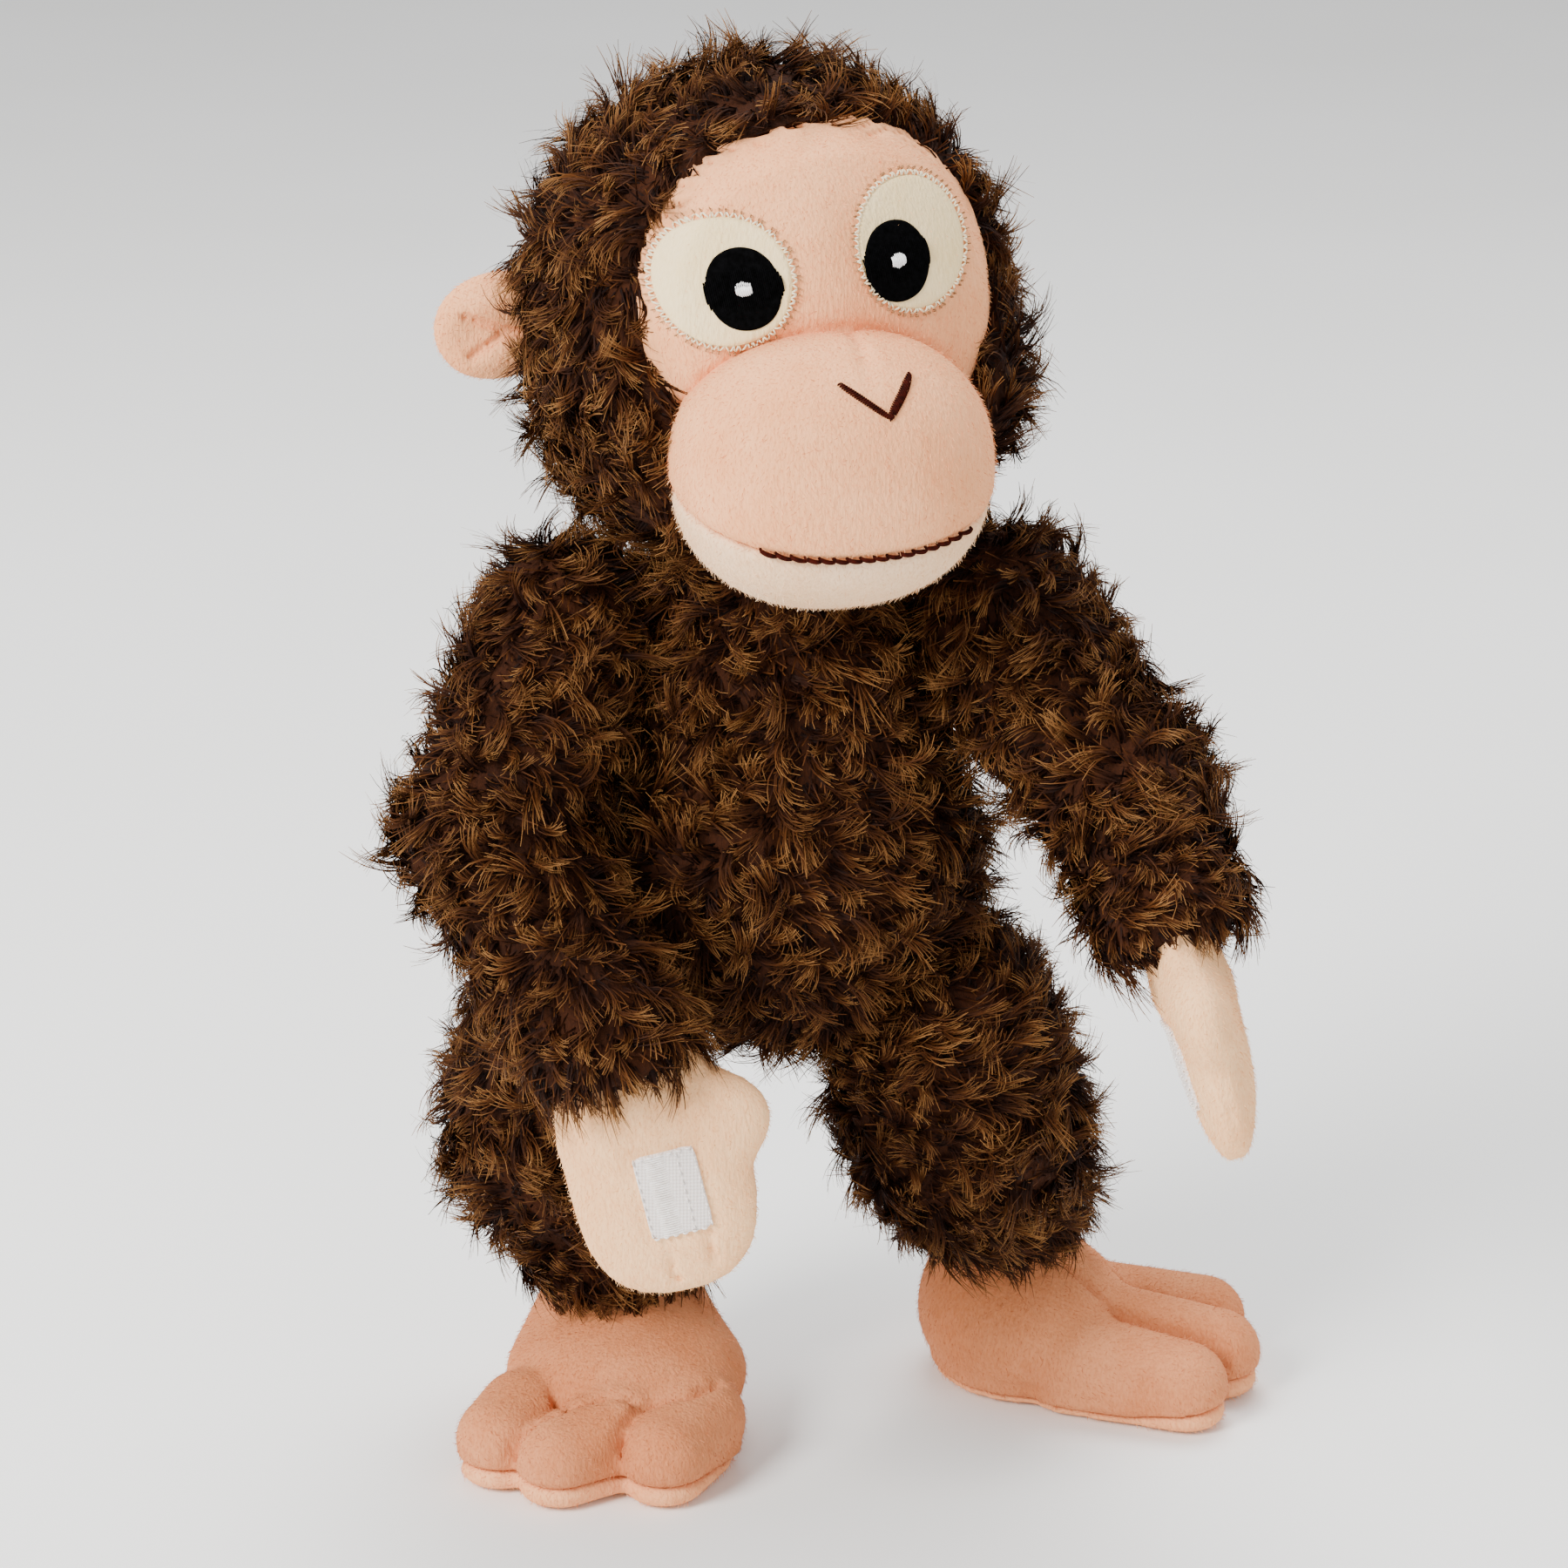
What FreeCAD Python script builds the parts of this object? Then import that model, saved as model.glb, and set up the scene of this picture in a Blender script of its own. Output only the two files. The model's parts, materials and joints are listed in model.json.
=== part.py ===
"""Stuffed monkey: a soft toy ape with plush covers, fibre fillings and sewn details.

The toy stands on its two soles. +Z is up, it faces -Y, and its own left is +X. The origin is on the
floor, under the middle of the whole toy. Sizes are millimetres.

Each stuffed part is one form made three times: at its true outside size, at the inside of its cover
and, a little smaller again, as its filling. The cover is the first less the second.
"""
import FreeCAD, Part
import math
import os

from FreeCAD import Placement, Rotation, Vector

DIMENSIONS = {
    # cloth and clearances
    "cover_thickness": 2.0,
    "fill_gap": 0.5,
    "joint_gap": 0.45,
    "trim_gap": 0.05,
    "trim_thickness": 0.9,
    # the middle of the whole toy's outline, seen from the body's own axis
    "middle_x": 15, "middle_y": -10,
    # torso: a belly and a chest
    "belly_x": -1, "belly_y": 6, "belly_z": 150,
    "belly_half_width": 54, "belly_half_depth": 45, "belly_half_height": 50,
    "chest_x": 0, "chest_y": 5, "chest_z": 188,
    "chest_half_width": 41, "chest_half_depth": 37, "chest_half_height": 43,
    "torso_top_z": 220,
    "crotch_x": -5.5, "crotch_y": 6, "crotch_z": 100, "crotch_half_width": 12,
    # neck
    "neck_x": -3, "neck_y": 5, "neck_z": 240,
    "neck_ball_radius": 28.2, "neck_tube_radius": 24.5,
    # head: an egg turned to the toy's left, tipped to its right and looking a little up
    "head_x": -5, "head_y": 5, "head_z": 290,
    "head_half_width": 61, "head_half_depth": 56, "head_half_height": 58,
    "head_yaw": 16, "head_pitch": 4, "head_roll": 9,
    "face_side": 4, "face_up": 3,
    "face_half_width": 51, "face_half_height": 39, "face_half_depth": 34,
    "muzzle_side": -4, "muzzle_forward": 50, "muzzle_down": 32, "muzzle_level": -8,
    "muzzle_half_width": 36, "muzzle_half_depth": 31, "muzzle_half_height": 31,
    "mouth_down": 7, "mouth_slope": 17, "mouth_half_length": 26, "mouth_stitch_width": 2.2,
    "nose_up": 16, "nose_arm_length": 12, "nose_arm_width": 3, "nose_arm_angle": 38,
    "nose_lean": -16,
    "eye_up": 10.5,
    "eye_patch_side": 22.8, "eye_patch_radius": 16, "eye_patch_above_pupil": 2.5,
    "pupil_side": 17, "pupil_radius": 9.6,
    "highlight_radius": 2.4,
    "ear_root_side": 52, "ear_root_back": 20, "ear_root_up": 2, "ear_out": 10,
    "right_ear_fold": 0, "left_ear_fold": 52,
    "ear_half_width": 17, "ear_half_thickness": 5, "ear_half_height": 13.5,
    "ear_hollow_share": 0.62, "ear_hollow_out": 2.5,
    # arms: shoulder ball, elbow and wrist
    "shoulder_radius": 24, "elbow_radius": 22.5, "cuff_radius": 19.5,
    "right_shoulder_x": -50, "right_shoulder_y": 4, "right_shoulder_z": 208,
    "right_elbow_x": -69, "right_elbow_y": -29, "right_elbow_z": 170,
    "right_wrist_x": -38, "right_wrist_y": -61, "right_wrist_z": 127,
    "right_fingers_x": -25, "right_fingers_y": -68, "right_fingers_z": 71,
    "right_swing_turn": -30, "right_swing_low": 0,
    "left_shoulder_x": 51, "left_shoulder_y": 4, "left_shoulder_z": 210,
    "left_elbow_x": 79, "left_elbow_y": -22, "left_elbow_z": 178,
    "left_wrist_x": 87, "left_wrist_y": -58, "left_wrist_z": 160,
    "left_fingers_x": 104, "left_fingers_y": -65, "left_fingers_z": 110,
    "left_swing_turn": 0, "left_swing_low": -25,
    "swing_steps": 3, "swing_step": 20, "arm_room": 1.8, "shoulder_room": 2.3,
    # hands
    "hand_root_radius": 9, "hand_root_length": 27,
    "hand_forward": 28, "hand_half_width": 22.5, "hand_half_thickness": 9, "hand_half_length": 29,
    "thumb_side": 19, "thumb_forward": 17, "thumb_half_width": 9, "thumb_half_thickness": 6.5,
    "thumb_half_length": 11.5,
    "palm_patch_width": 13, "palm_patch_length": 20, "palm_patch_forward": 31, "palm_patch_rise": 1.0,
    # legs: hip ball and ankle ball
    "hip_radius": 30, "shin_radius": 28.5,
    "right_hip_x": -49, "right_hip_y": 3, "right_hip_z": 110,
    "right_ankle_x": -41, "right_ankle_y": 20, "right_ankle_z": 36,
    "left_hip_x": 38, "left_hip_y": 3, "left_hip_z": 110,
    "left_ankle_x": 57, "left_ankle_y": 36, "left_ankle_z": 36,
    "leg_end_above_ankle": 5,
    # feet
    "ankle_ball_radius": 19,
    "right_foot_turn": -8, "left_foot_turn": 78,
    "foot_forward": 22, "foot_half_width": 33, "foot_half_length": 43, "foot_half_height": 18,
    "foot_centre_up": 14, "sole_thickness": 3,
}

OUTSIDE = "0"
INSIDE = "dims.cover_thickness"
FILLING = "(dims.cover_thickness + dims.fill_gap)"
FAR = 200                                  # half the side of the boxes that stand for half spaces

X_AXIS = Vector(1, 0, 0)
Y_AXIS = Vector(0, 1, 0)
Z_AXIS = Vector(0, 0, 1)

doc = FreeCAD.newDocument("stuffed_monkey")
dims = doc.addObject("Spreadsheet::Sheet", "dims")
for row, (alias, value) in enumerate(DIMENSIONS.items(), start=1):
    dims.set(f"A{row}", alias)
    dims.set(f"B{row}", str(value))
    dims.setAlias(f"B{row}", alias)
doc.recompute()

nodes = {}                                 # every sub-part, by its name


# ---------------------------------------------------------------- small tools

def size(alias):
    """The value of one cell of the sheet."""
    return float(dims.get(alias))


def in_row(x, y, z):
    """A place measured from the body's axis, in the part's own frame."""
    return Vector(x - size("middle_x"), y - size("middle_y"), z)


def point(name):
    """A named point of the sheet."""
    return in_row(size(name + "_x"), size(name + "_y"), size(name + "_z"))


def distance(first, second):
    """An expression for the distance between two named points."""
    squares = [f"(dims.{first}_{axis} - dims.{second}_{axis})^2" for axis in "xyz"]
    return "sqrt(" + " + ".join(squares) + ")"


def at(position, rotation=None):
    return Placement(position, rotation or Rotation())


def skin_of(inset):
    """The inset of a form as a number."""
    if inset == OUTSIDE:
        return 0.0
    if inset == INSIDE:
        return size("cover_thickness")
    return size("cover_thickness") + size("fill_gap")


def primitive(kind, name, sizes, place):
    """A Part primitive whose sizes are bound to expressions."""
    solid = doc.addObject("Part::" + kind, name)
    for prop, expression in sizes.items():
        solid.setExpression(prop, expression)
    solid.Placement = place
    return solid


def ball(name, radius, inset, position):
    return primitive("Sphere", name, {"Radius": f"{radius} - {inset}"}, at(position))


def ellipsoid(name, half_sizes, inset, place):
    """An ellipsoid with half sizes along x, y and z, each less the inset."""
    along_x, along_y, along_z = half_sizes
    sizes = {
        "Radius1": f"{along_z} - {inset}",
        "Radius2": f"{along_x} - {inset}",
        "Radius3": f"{along_y} - {inset}",
    }
    return primitive("Ellipsoid", name, sizes, place)


def limb(name, start, end, start_radius, end_radius, inset):
    """A cone along the line between two named points."""
    sizes = {
        "Radius1": f"{start_radius} - {inset}",
        "Radius2": f"{end_radius} - {inset}",
        "Height": distance(start, end),
    }
    run = point(end) - point(start)
    return primitive("Cone", name, sizes, at(point(start), Rotation(Z_AXIS, run)))


def half_space(name, place):
    """Everything on the +Z side of a placed plane."""
    box = doc.addObject("Part::Box", name)
    box.Length = box.Width = box.Height = 2 * FAR
    box.Placement = place.multiply(at(Vector(-FAR, -FAR, 0)))
    return box


def block(name, low, high):
    """A box between two corners."""
    box = doc.addObject("Part::Box", name)
    box.Length, box.Width, box.Height = high - low
    box.Placement = at(low)
    return box


def fuse(name, solids):
    result = doc.addObject("Part::MultiFuse", name)
    result.Shapes = solids
    return result


def cut(name, base, tool):
    result = doc.addObject("Part::Cut", name)
    result.Base = base
    result.Tool = tool
    return result


def cut_all(name, base, tools):
    return cut(name, base, fuse(name + "_tools", tools))


def common(name, base, tool):
    result = doc.addObject("Part::Common", name)
    result.Base = base
    result.Tool = tool
    return result


def node(name, solid):
    """Make an object a sub-part, under its own label."""
    solid.Label = name
    nodes[name] = solid
    return solid


def stuffed(name, form):
    """The cover and the filling of one stuffed form."""
    outside = form(name + "_outside", OUTSIDE)
    inside = form(name + "_inside", INSIDE)
    node(name + "_cover", cut(name + "_cover_cut", outside, inside))
    node(name + "_fill", form(name + "_filling", FILLING))


# ---------------------------------------------------------------- torso and neck

def swing_axis(side_name):
    """Direction of the shoulder's axis: a positive turn lifts a hanging arm forwards."""
    angle = math.radians(size(side_name + "_swing_turn"))
    return Vector(-math.cos(angle), -math.sin(angle), 0)


def arm_room(name, side_name, inset):
    """Tools that clear the space which an upper arm sweeps beside the body, one for each step."""
    shoulder, elbow = side_name + "_shoulder", side_name + "_elbow"
    room = f"(-dims.arm_room - {inset})"
    seat = f"(-dims.shoulder_room - {inset})"
    tools = [ball(name + "_seat", "dims.shoulder_radius", seat, point(shoulder))]
    for step in range(int(size("swing_steps"))):
        label = f"{name}_{step}"
        angle = size(side_name + "_swing_low") + step * size("swing_step")
        arm = fuse(label, [
            limb(label + "_upper", shoulder, elbow, "dims.shoulder_radius", "dims.elbow_radius", room),
            ball(label + "_elbow", "dims.elbow_radius", room, point(elbow)),
        ])
        arm.Placement = Placement(Vector(), Rotation(swing_axis(side_name), angle), point(shoulder))
        tools.append(arm)
    return tools


def hip_plane_z():
    """Height of the torso's underside over the legs."""
    return size("right_hip_z") + size("hip_radius") + size("joint_gap")


def torso_form(name, inset):
    """A pear with room for each arm, a flat top for the neck and a crotch between the legs."""
    belly_sizes = ["dims.belly_half_width", "dims.belly_half_depth", "dims.belly_half_height"]
    chest_sizes = ["dims.chest_half_width", "dims.chest_half_depth", "dims.chest_half_height"]
    pear = fuse(name + "_pear", [
        ellipsoid(name + "_belly", belly_sizes, inset, at(point("belly"))),
        ellipsoid(name + "_chest", chest_sizes, inset, at(point("chest"))),
    ])
    skin = skin_of(inset)
    top = at(Vector(0, 0, size("torso_top_z") - skin))
    low_x = point("crotch").x - size("crotch_half_width") + skin
    high_x = point("crotch").x + size("crotch_half_width") - skin
    under = hip_plane_z() + skin
    return cut_all(name, pear, [
        half_space(name + "_above", top),
        *arm_room(name + "_right_room", "right", inset),
        *arm_room(name + "_left_room", "left", inset),
        block(name + "_right_leg_room", Vector(-FAR, -FAR, 0), Vector(low_x, FAR, under)),
        block(name + "_left_leg_room", Vector(high_x, -FAR, 0), Vector(FAR, FAR, under)),
    ])


def neck_form(name, inset):
    """A tube standing on the torso under the ball that the head turns on."""
    centre = point("neck")
    tube_place = at(Vector(centre.x, centre.y, size("torso_top_z")))
    tube_sizes = {
        "Radius": f"dims.neck_tube_radius - {inset}",
        "Height": "dims.neck_z - dims.torso_top_z",
    }
    stub = fuse(name + "_stub", [
        ball(name + "_ball", "dims.neck_ball_radius", inset, centre),
        primitive("Cylinder", name + "_tube", tube_sizes, tube_place),
    ])
    floor = primitive("Cylinder", name + "_below", {
        "Radius": "2 * dims.neck_ball_radius",
        "Height": f"dims.neck_ball_radius + dims.joint_gap + {inset}",
    }, at(Vector(centre.x, centre.y, size("torso_top_z") - size("neck_ball_radius"))))
    return cut(name, stub, floor)


# ---------------------------------------------------------------- head

def head_frame():
    """The head's own frame: its face looks along the frame's -Y."""
    turn = Rotation(Z_AXIS, size("head_yaw"))
    look_up = Rotation(X_AXIS, -size("head_pitch"))
    tip = Rotation(Y_AXIS, -size("head_roll"))
    return at(point("head"), turn.multiply(look_up).multiply(tip))


def on_head(side, back, up, rotation=None):
    """A place given in the head's own frame."""
    return head_frame().multiply(at(Vector(side, back, up), rotation))


HEAD_SIZES = ["dims.head_half_width", "dims.head_half_depth", "dims.head_half_height"]
MUZZLE_SIZES = ["dims.muzzle_half_width", "dims.muzzle_half_depth", "dims.muzzle_half_height"]


def head_egg(name, inset):
    return ellipsoid(name, HEAD_SIZES, inset, head_frame())


def head_form(name, inset):
    """The egg with a round seat for the neck ball."""
    seat = f"(-dims.joint_gap - {inset})"
    return cut(name, head_egg(name + "_egg", inset),
               ball(name + "_seat", "dims.neck_ball_radius", seat, point("neck")))


def make_hood_and_face():
    shell = cut("head_shell", head_form("head_outside", OUTSIDE), head_form("head_inside", INSIDE))
    face_sizes = ["dims.face_half_width", "dims.face_half_depth", "dims.face_half_height"]
    face_place = on_head(size("face_side"), -size("head_half_depth"), size("face_up"))
    outline = ellipsoid("face_outline", face_sizes, OUTSIDE, face_place)
    node("head_cover", cut("head_cover_cut", shell, outline))
    node("face_panel", common("face_panel_cut", shell, outline))
    node("head_fill", head_form("head_filling", FILLING))


def muzzle_place():
    """The muzzle's own frame, tipped back so that the mouth lies level."""
    level = Rotation(Y_AXIS, -size("muzzle_level"))
    return on_head(size("muzzle_side"), -size("muzzle_forward"), -size("muzzle_down"), level)


def muzzle_egg(name, inset):
    return ellipsoid(name, MUZZLE_SIZES, inset, muzzle_place())


def mouth_plane():
    """The plane of the mouth seam, lower at the front; its +Z side is the chin's."""
    slope = Rotation(X_AXIS, 180 + size("mouth_slope"))
    return muzzle_place().multiply(at(Vector(0, 0, -size("mouth_down")), slope))


def make_muzzle():
    """Upper panel, chin panel and filling, sewn over the face."""
    face_front = head_egg("muzzle_seat", "(-dims.trim_gap)")
    skin = cut("muzzle_skin", muzzle_egg("muzzle_outside", OUTSIDE), muzzle_egg("muzzle_inside", INSIDE))
    shell = cut("muzzle_shell", skin, face_front)
    below_mouth = half_space("below_mouth", mouth_plane())
    node("muzzle_cover", cut("muzzle_cover_cut", shell, below_mouth))
    node("chin_panel", common("chin_panel_cut", shell, below_mouth))
    node("muzzle_fill", cut("muzzle_fill_cut", muzzle_egg("muzzle_filling", FILLING), face_front))


def trim_layer(name, egg, layer):
    """A thin layer over an egg: layer 0 lies on the egg, layer 1 on layer 0, and so on."""
    low = f"(-dims.trim_gap - {layer} * (dims.trim_thickness + dims.trim_gap))"
    high = f"(-({layer} + 1) * (dims.trim_thickness + dims.trim_gap))"
    return cut(name, egg(name + "_high", high), egg(name + "_low", low))


def punch(name, radius, side, up):
    """A round punch through the front of the head."""
    sizes = {"Radius": radius, "Height": "2 * dims.head_half_depth"}
    return primitive("Cylinder", name, sizes, on_head(side, 0, up, Rotation(X_AXIS, 90)))


def make_eyes():
    """Cream patch, black pupil and white highlight, one on the other, for each eye."""
    layers = [trim_layer(f"eye_layer_{number}", head_egg, number) for number in range(3)]
    for side_name, sign in (("right", -1), ("left", 1)):
        patch_side = sign * size("eye_patch_side")
        pupil_side = sign * size("pupil_side")
        up = size("eye_up")
        patch_up = up + size("eye_patch_above_pupil")
        pieces = (
            ("eye_patch", "dims.eye_patch_radius", patch_side, patch_up),
            ("pupil", "dims.pupil_radius", pupil_side, up),
            ("highlight", "dims.highlight_radius", pupil_side, up),
        )
        for layer, (piece, radius, side, up) in zip(layers, pieces):
            name = f"{side_name}_{piece}"
            node(name, common(name + "_cut", layer, punch(name + "_punch", radius, side, up)))


def make_stitches():
    """The V of the nose and the line of the mouth, in thick thread on the muzzle."""
    layer = trim_layer("muzzle_layer", muzzle_egg, 0)
    arms = []
    for arm_name, sign in (("right", -1), ("left", 1)):
        arm = primitive("Box", f"nose_{arm_name}_arm", {
            "Length": "dims.nose_arm_width",
            "Width": "2 * dims.muzzle_half_depth",
            "Height": "dims.nose_arm_length",
        }, Placement())
        lean = Rotation(Y_AXIS, size("nose_lean") + sign * size("nose_arm_angle"))
        middle = at(Vector(-size("nose_arm_width") / 2, -2 * size("muzzle_half_depth"), 0))
        foot = at(Vector(0, 0, size("nose_up")), lean)
        arm.Placement = muzzle_place().multiply(foot).multiply(middle)
        arms.append(arm)
    node("nose_stitch", common("nose_stitch_cut", layer, fuse("nose_arms", arms)))
    bar = primitive("Box", "mouth_bar", {
        "Length": "2 * dims.mouth_half_length",
        "Width": "2 * dims.muzzle_half_depth",
        "Height": "dims.mouth_stitch_width",
    }, Placement())
    corner = Vector(-size("mouth_half_length"), 0, -size("mouth_stitch_width") / 2)
    bar.Placement = mouth_plane().multiply(at(corner))
    node("mouth_stitch", common("mouth_stitch_cut", layer, bar))


def make_ears():
    """A flat ear with a hollow front, sewn to each side of the hood."""
    head_side = head_egg("ear_seat", "(-dims.trim_gap)")
    ear_sizes = ["dims.ear_half_width", "dims.ear_half_thickness", "dims.ear_half_height"]
    hollow_sizes = [f"dims.ear_hollow_share * {half}" for half in ear_sizes]
    for side_name, sign, mirror in (("right", -1, 180), ("left", 1, 0)):
        fold = Rotation(Z_AXIS, mirror + sign * size(side_name + "_ear_fold"))
        root = on_head(sign * size("ear_root_side"), size("ear_root_back"), size("ear_root_up"), fold)
        place = root.multiply(at(Vector(size("ear_out"), 0, 0)))
        inner = Vector(size("ear_out") + size("ear_hollow_out"), -sign * size("ear_half_thickness"), 0)
        front = root.multiply(at(inner))
        name = side_name + "_ear"
        lobe = ellipsoid(name + "_lobe", ear_sizes, OUTSIDE, place)
        hollow = ellipsoid(name + "_hollow", hollow_sizes, OUTSIDE, front)
        node(name, cut_all(name + "_cut", lobe, [hollow, head_side]))


# ---------------------------------------------------------------- arms and hands

def hand_frame(side_name):
    """The hand's own frame at the wrist: fingers along -Z, width along X, palm towards -Y."""
    fingers = (point(side_name + "_fingers") - point(side_name + "_wrist")).normalize()
    palm = Vector(0, -1, 0)
    if side_name == "left":
        palm = Vector(-1, 0, 0)
    up = fingers * -1
    across = (palm * -1).cross(up).normalize()
    return at(point(side_name + "_wrist"), Rotation(across, up.cross(across), up, "ZXY"))


def cuff_plane(side_name, skin):
    """The arm's flat end: parallel to the wrist's axis and clear of the round root of the hand."""
    across = hand_frame(side_name).Rotation.multVec(X_AXIS)
    forearm = (point(side_name + "_wrist") - point(side_name + "_elbow")).normalize()
    normal = (forearm - across * forearm.dot(across)).normalize()
    back = size("hand_root_radius") + size("joint_gap") + skin
    return at(point(side_name + "_wrist") - normal * back, Rotation(Z_AXIS, normal))


def arm_form(side_name):
    """A form for one arm: shoulder ball, upper arm, elbow and forearm, cut off at the cuff."""
    shoulder, elbow, wrist = (f"{side_name}_{joint}" for joint in ("shoulder", "elbow", "wrist"))

    def form(name, inset):
        skin = skin_of(inset)
        sleeve = fuse(name + "_sleeve", [
            ball(name + "_shoulder", "dims.shoulder_radius", inset, point(shoulder)),
            limb(name + "_upper", shoulder, elbow, "dims.shoulder_radius", "dims.elbow_radius", inset),
            ball(name + "_elbow", "dims.elbow_radius", inset, point(elbow)),
            limb(name + "_lower", elbow, wrist, "dims.elbow_radius", "dims.cuff_radius", inset),
        ])
        return cut(name, sleeve, half_space(name + "_beyond", cuff_plane(side_name, skin)))
    return form


def in_hand(side_name, side, back, up):
    return hand_frame(side_name).multiply(at(Vector(side, back, up)))


def hand_form(side_name):
    """A form for one hand: round root on the wrist's axis, mitten and thumb."""
    hand_sizes = ["dims.hand_half_thickness", "dims.hand_half_width", "dims.hand_half_length"]
    thumb_sizes = ["dims.thumb_half_thickness", "dims.thumb_half_width", "dims.thumb_half_length"]
    quarter = at(Vector(), Rotation(Z_AXIS, 90))    # keeps each egg's own seam off the hand's seam

    def form(name, inset):
        root = primitive("Cylinder", name + "_root", {
            "Radius": f"dims.hand_root_radius - {inset}",
            "Height": f"dims.hand_root_length - 2 * {inset}",
        }, Placement())
        skin = skin_of(inset)
        along = at(Vector(skin - size("hand_root_length") / 2, 0, 0), Rotation(Y_AXIS, 90))
        root.Placement = hand_frame(side_name).multiply(along).multiply(quarter)
        mitten_place = in_hand(side_name, 0, 0, -size("hand_forward")).multiply(quarter)
        thumb_place = in_hand(side_name, size("thumb_side"), 0, -size("thumb_forward")).multiply(quarter)
        return fuse(name, [
            root,
            ellipsoid(name + "_mitten", hand_sizes, inset, mitten_place),
            ellipsoid(name + "_thumb", thumb_sizes, inset, thumb_place),
        ])
    return form


def make_hand(side_name):
    """Palm panel, back panel, filling and the hook-and-loop patch on the palm."""
    form = hand_form(side_name)
    name = side_name + "_hand"
    outside = form(name + "_outside", OUTSIDE)
    shell = cut(name + "_shell", outside, form(name + "_inside", INSIDE))
    palm_side = half_space(name + "_palm_side",
                           hand_frame(side_name).multiply(at(Vector(), Rotation(X_AXIS, 90))))
    node(name + "_palm", common(name + "_palm_cut", shell, palm_side))
    node(name + "_back", cut(name + "_back_cut", shell, palm_side))
    node(name + "_fill", form(name + "_filling", FILLING))
    patch = primitive("Box", side_name + "_patch_blank", {
        "Length": "dims.palm_patch_width",
        "Width": "dims.hand_half_thickness + dims.palm_patch_rise",
        "Height": "dims.palm_patch_length",
    }, in_hand(side_name, -size("palm_patch_width") / 2,
               -size("hand_half_thickness") - size("palm_patch_rise"),
               -size("palm_patch_forward") - size("palm_patch_length") / 2))
    node(side_name + "_palm_patch", cut(side_name + "_patch_cut", patch, outside))


# ---------------------------------------------------------------- legs and feet

def leg_form(side_name):
    """A form for one leg: hip ball and a tube, flat at its end with a round seat for the ankle."""
    hip, ankle = side_name + "_hip", side_name + "_ankle"

    def form(name, inset):
        skin = skin_of(inset)
        tube = fuse(name + "_tube", [
            ball(name + "_hip", "dims.hip_radius", inset, point(hip)),
            limb(name + "_shin", hip, ankle, "dims.hip_radius", "dims.shin_radius", inset),
        ])
        end = Vector(0, 0, size(ankle + "_z") + size("leg_end_above_ankle") + skin)
        seat = f"(-dims.joint_gap - {inset})"
        return cut_all(name, tube, [
            half_space(name + "_below", at(end, Rotation(X_AXIS, 180))),
            ball(name + "_seat", "dims.ankle_ball_radius", seat, point(ankle)),
        ])
    return form


def foot_form(side_name):
    """A form for one foot: a flat-bottomed egg under the ankle ball."""
    foot_sizes = ["dims.foot_half_width", "dims.foot_half_length", "dims.foot_half_height"]

    def form(name, inset):
        skin = skin_of(inset)
        ankle = point(side_name + "_ankle")
        turn = Rotation(Z_AXIS, size(side_name + "_foot_turn"))
        forward = turn.multVec(Vector(0, -size("foot_forward"), 0))
        centre = Vector(ankle.x, ankle.y, size("foot_centre_up")) + forward
        body = fuse(name + "_body", [
            ellipsoid(name + "_egg", foot_sizes, inset, at(centre, turn)),
            ball(name + "_ankle", "dims.ankle_ball_radius", inset, ankle),
        ])
        bottom = size("sole_thickness") + skin - size("cover_thickness")
        if inset == OUTSIDE:
            bottom = 0
        ground = half_space(name + "_ground", at(Vector(0, 0, bottom), Rotation(X_AXIS, 180)))
        return cut(name, body, ground)
    return form


def make_foot(side_name):
    """Upper, sole and filling of one foot."""
    form = foot_form(side_name)
    name = side_name + "_foot"
    outside = form(name + "_outside", OUTSIDE)
    sole_side = half_space(name + "_sole_side",
                           at(Vector(0, 0, size("sole_thickness")), Rotation(X_AXIS, 180)))
    node(name + "_sole", common(name + "_sole_cut", outside, sole_side))
    above = cut(name + "_above_sole", outside, sole_side)
    inside = form(name + "_inside", INSIDE)
    node(name + "_upper", cut(name + "_upper_cut", above, inside))
    node(name + "_fill", form(name + "_filling", FILLING))


# ---------------------------------------------------------------- the whole toy

def check_and_export():
    """Stop on anything that failed to build, then write one file for each sub-part."""
    doc.recompute()
    for item in doc.Objects:
        if "Invalid" in item.State or "Error" in item.State:
            raise RuntimeError(f"{item.Label} did not build: {item.State}")
    for name, solid in nodes.items():
        shape = solid.Shape
        if shape.isNull() or not shape.isValid() or not shape.Solids:
            raise RuntimeError(f"{name} has no valid solid")
    os.makedirs("parts", exist_ok=True)
    for name, solid in nodes.items():
        solid.Shape.exportStep(f"parts/{name}.step")
        print(f"{name}: {solid.Shape.Volume:.0f} mm3 in {len(solid.Shape.Solids)} solid(s)")


stuffed("torso", torso_form)
stuffed("neck", neck_form)
make_hood_and_face()
make_muzzle()
make_eyes()
make_stitches()
make_ears()
for side in ("right", "left"):
    stuffed(side + "_arm", arm_form(side))
    make_hand(side)
    stuffed(side + "_leg", leg_form(side))
    make_foot(side)
check_and_export()
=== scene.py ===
"""Stuffed monkey: plush skins, curly fur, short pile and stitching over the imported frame.

Forms are worked out in millimetres from the body's own axis, as in the CAD, or in the frame of a
head, hand or foot, and turned into the row's metres when a mesh is made.
"""
import json
import math

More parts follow.
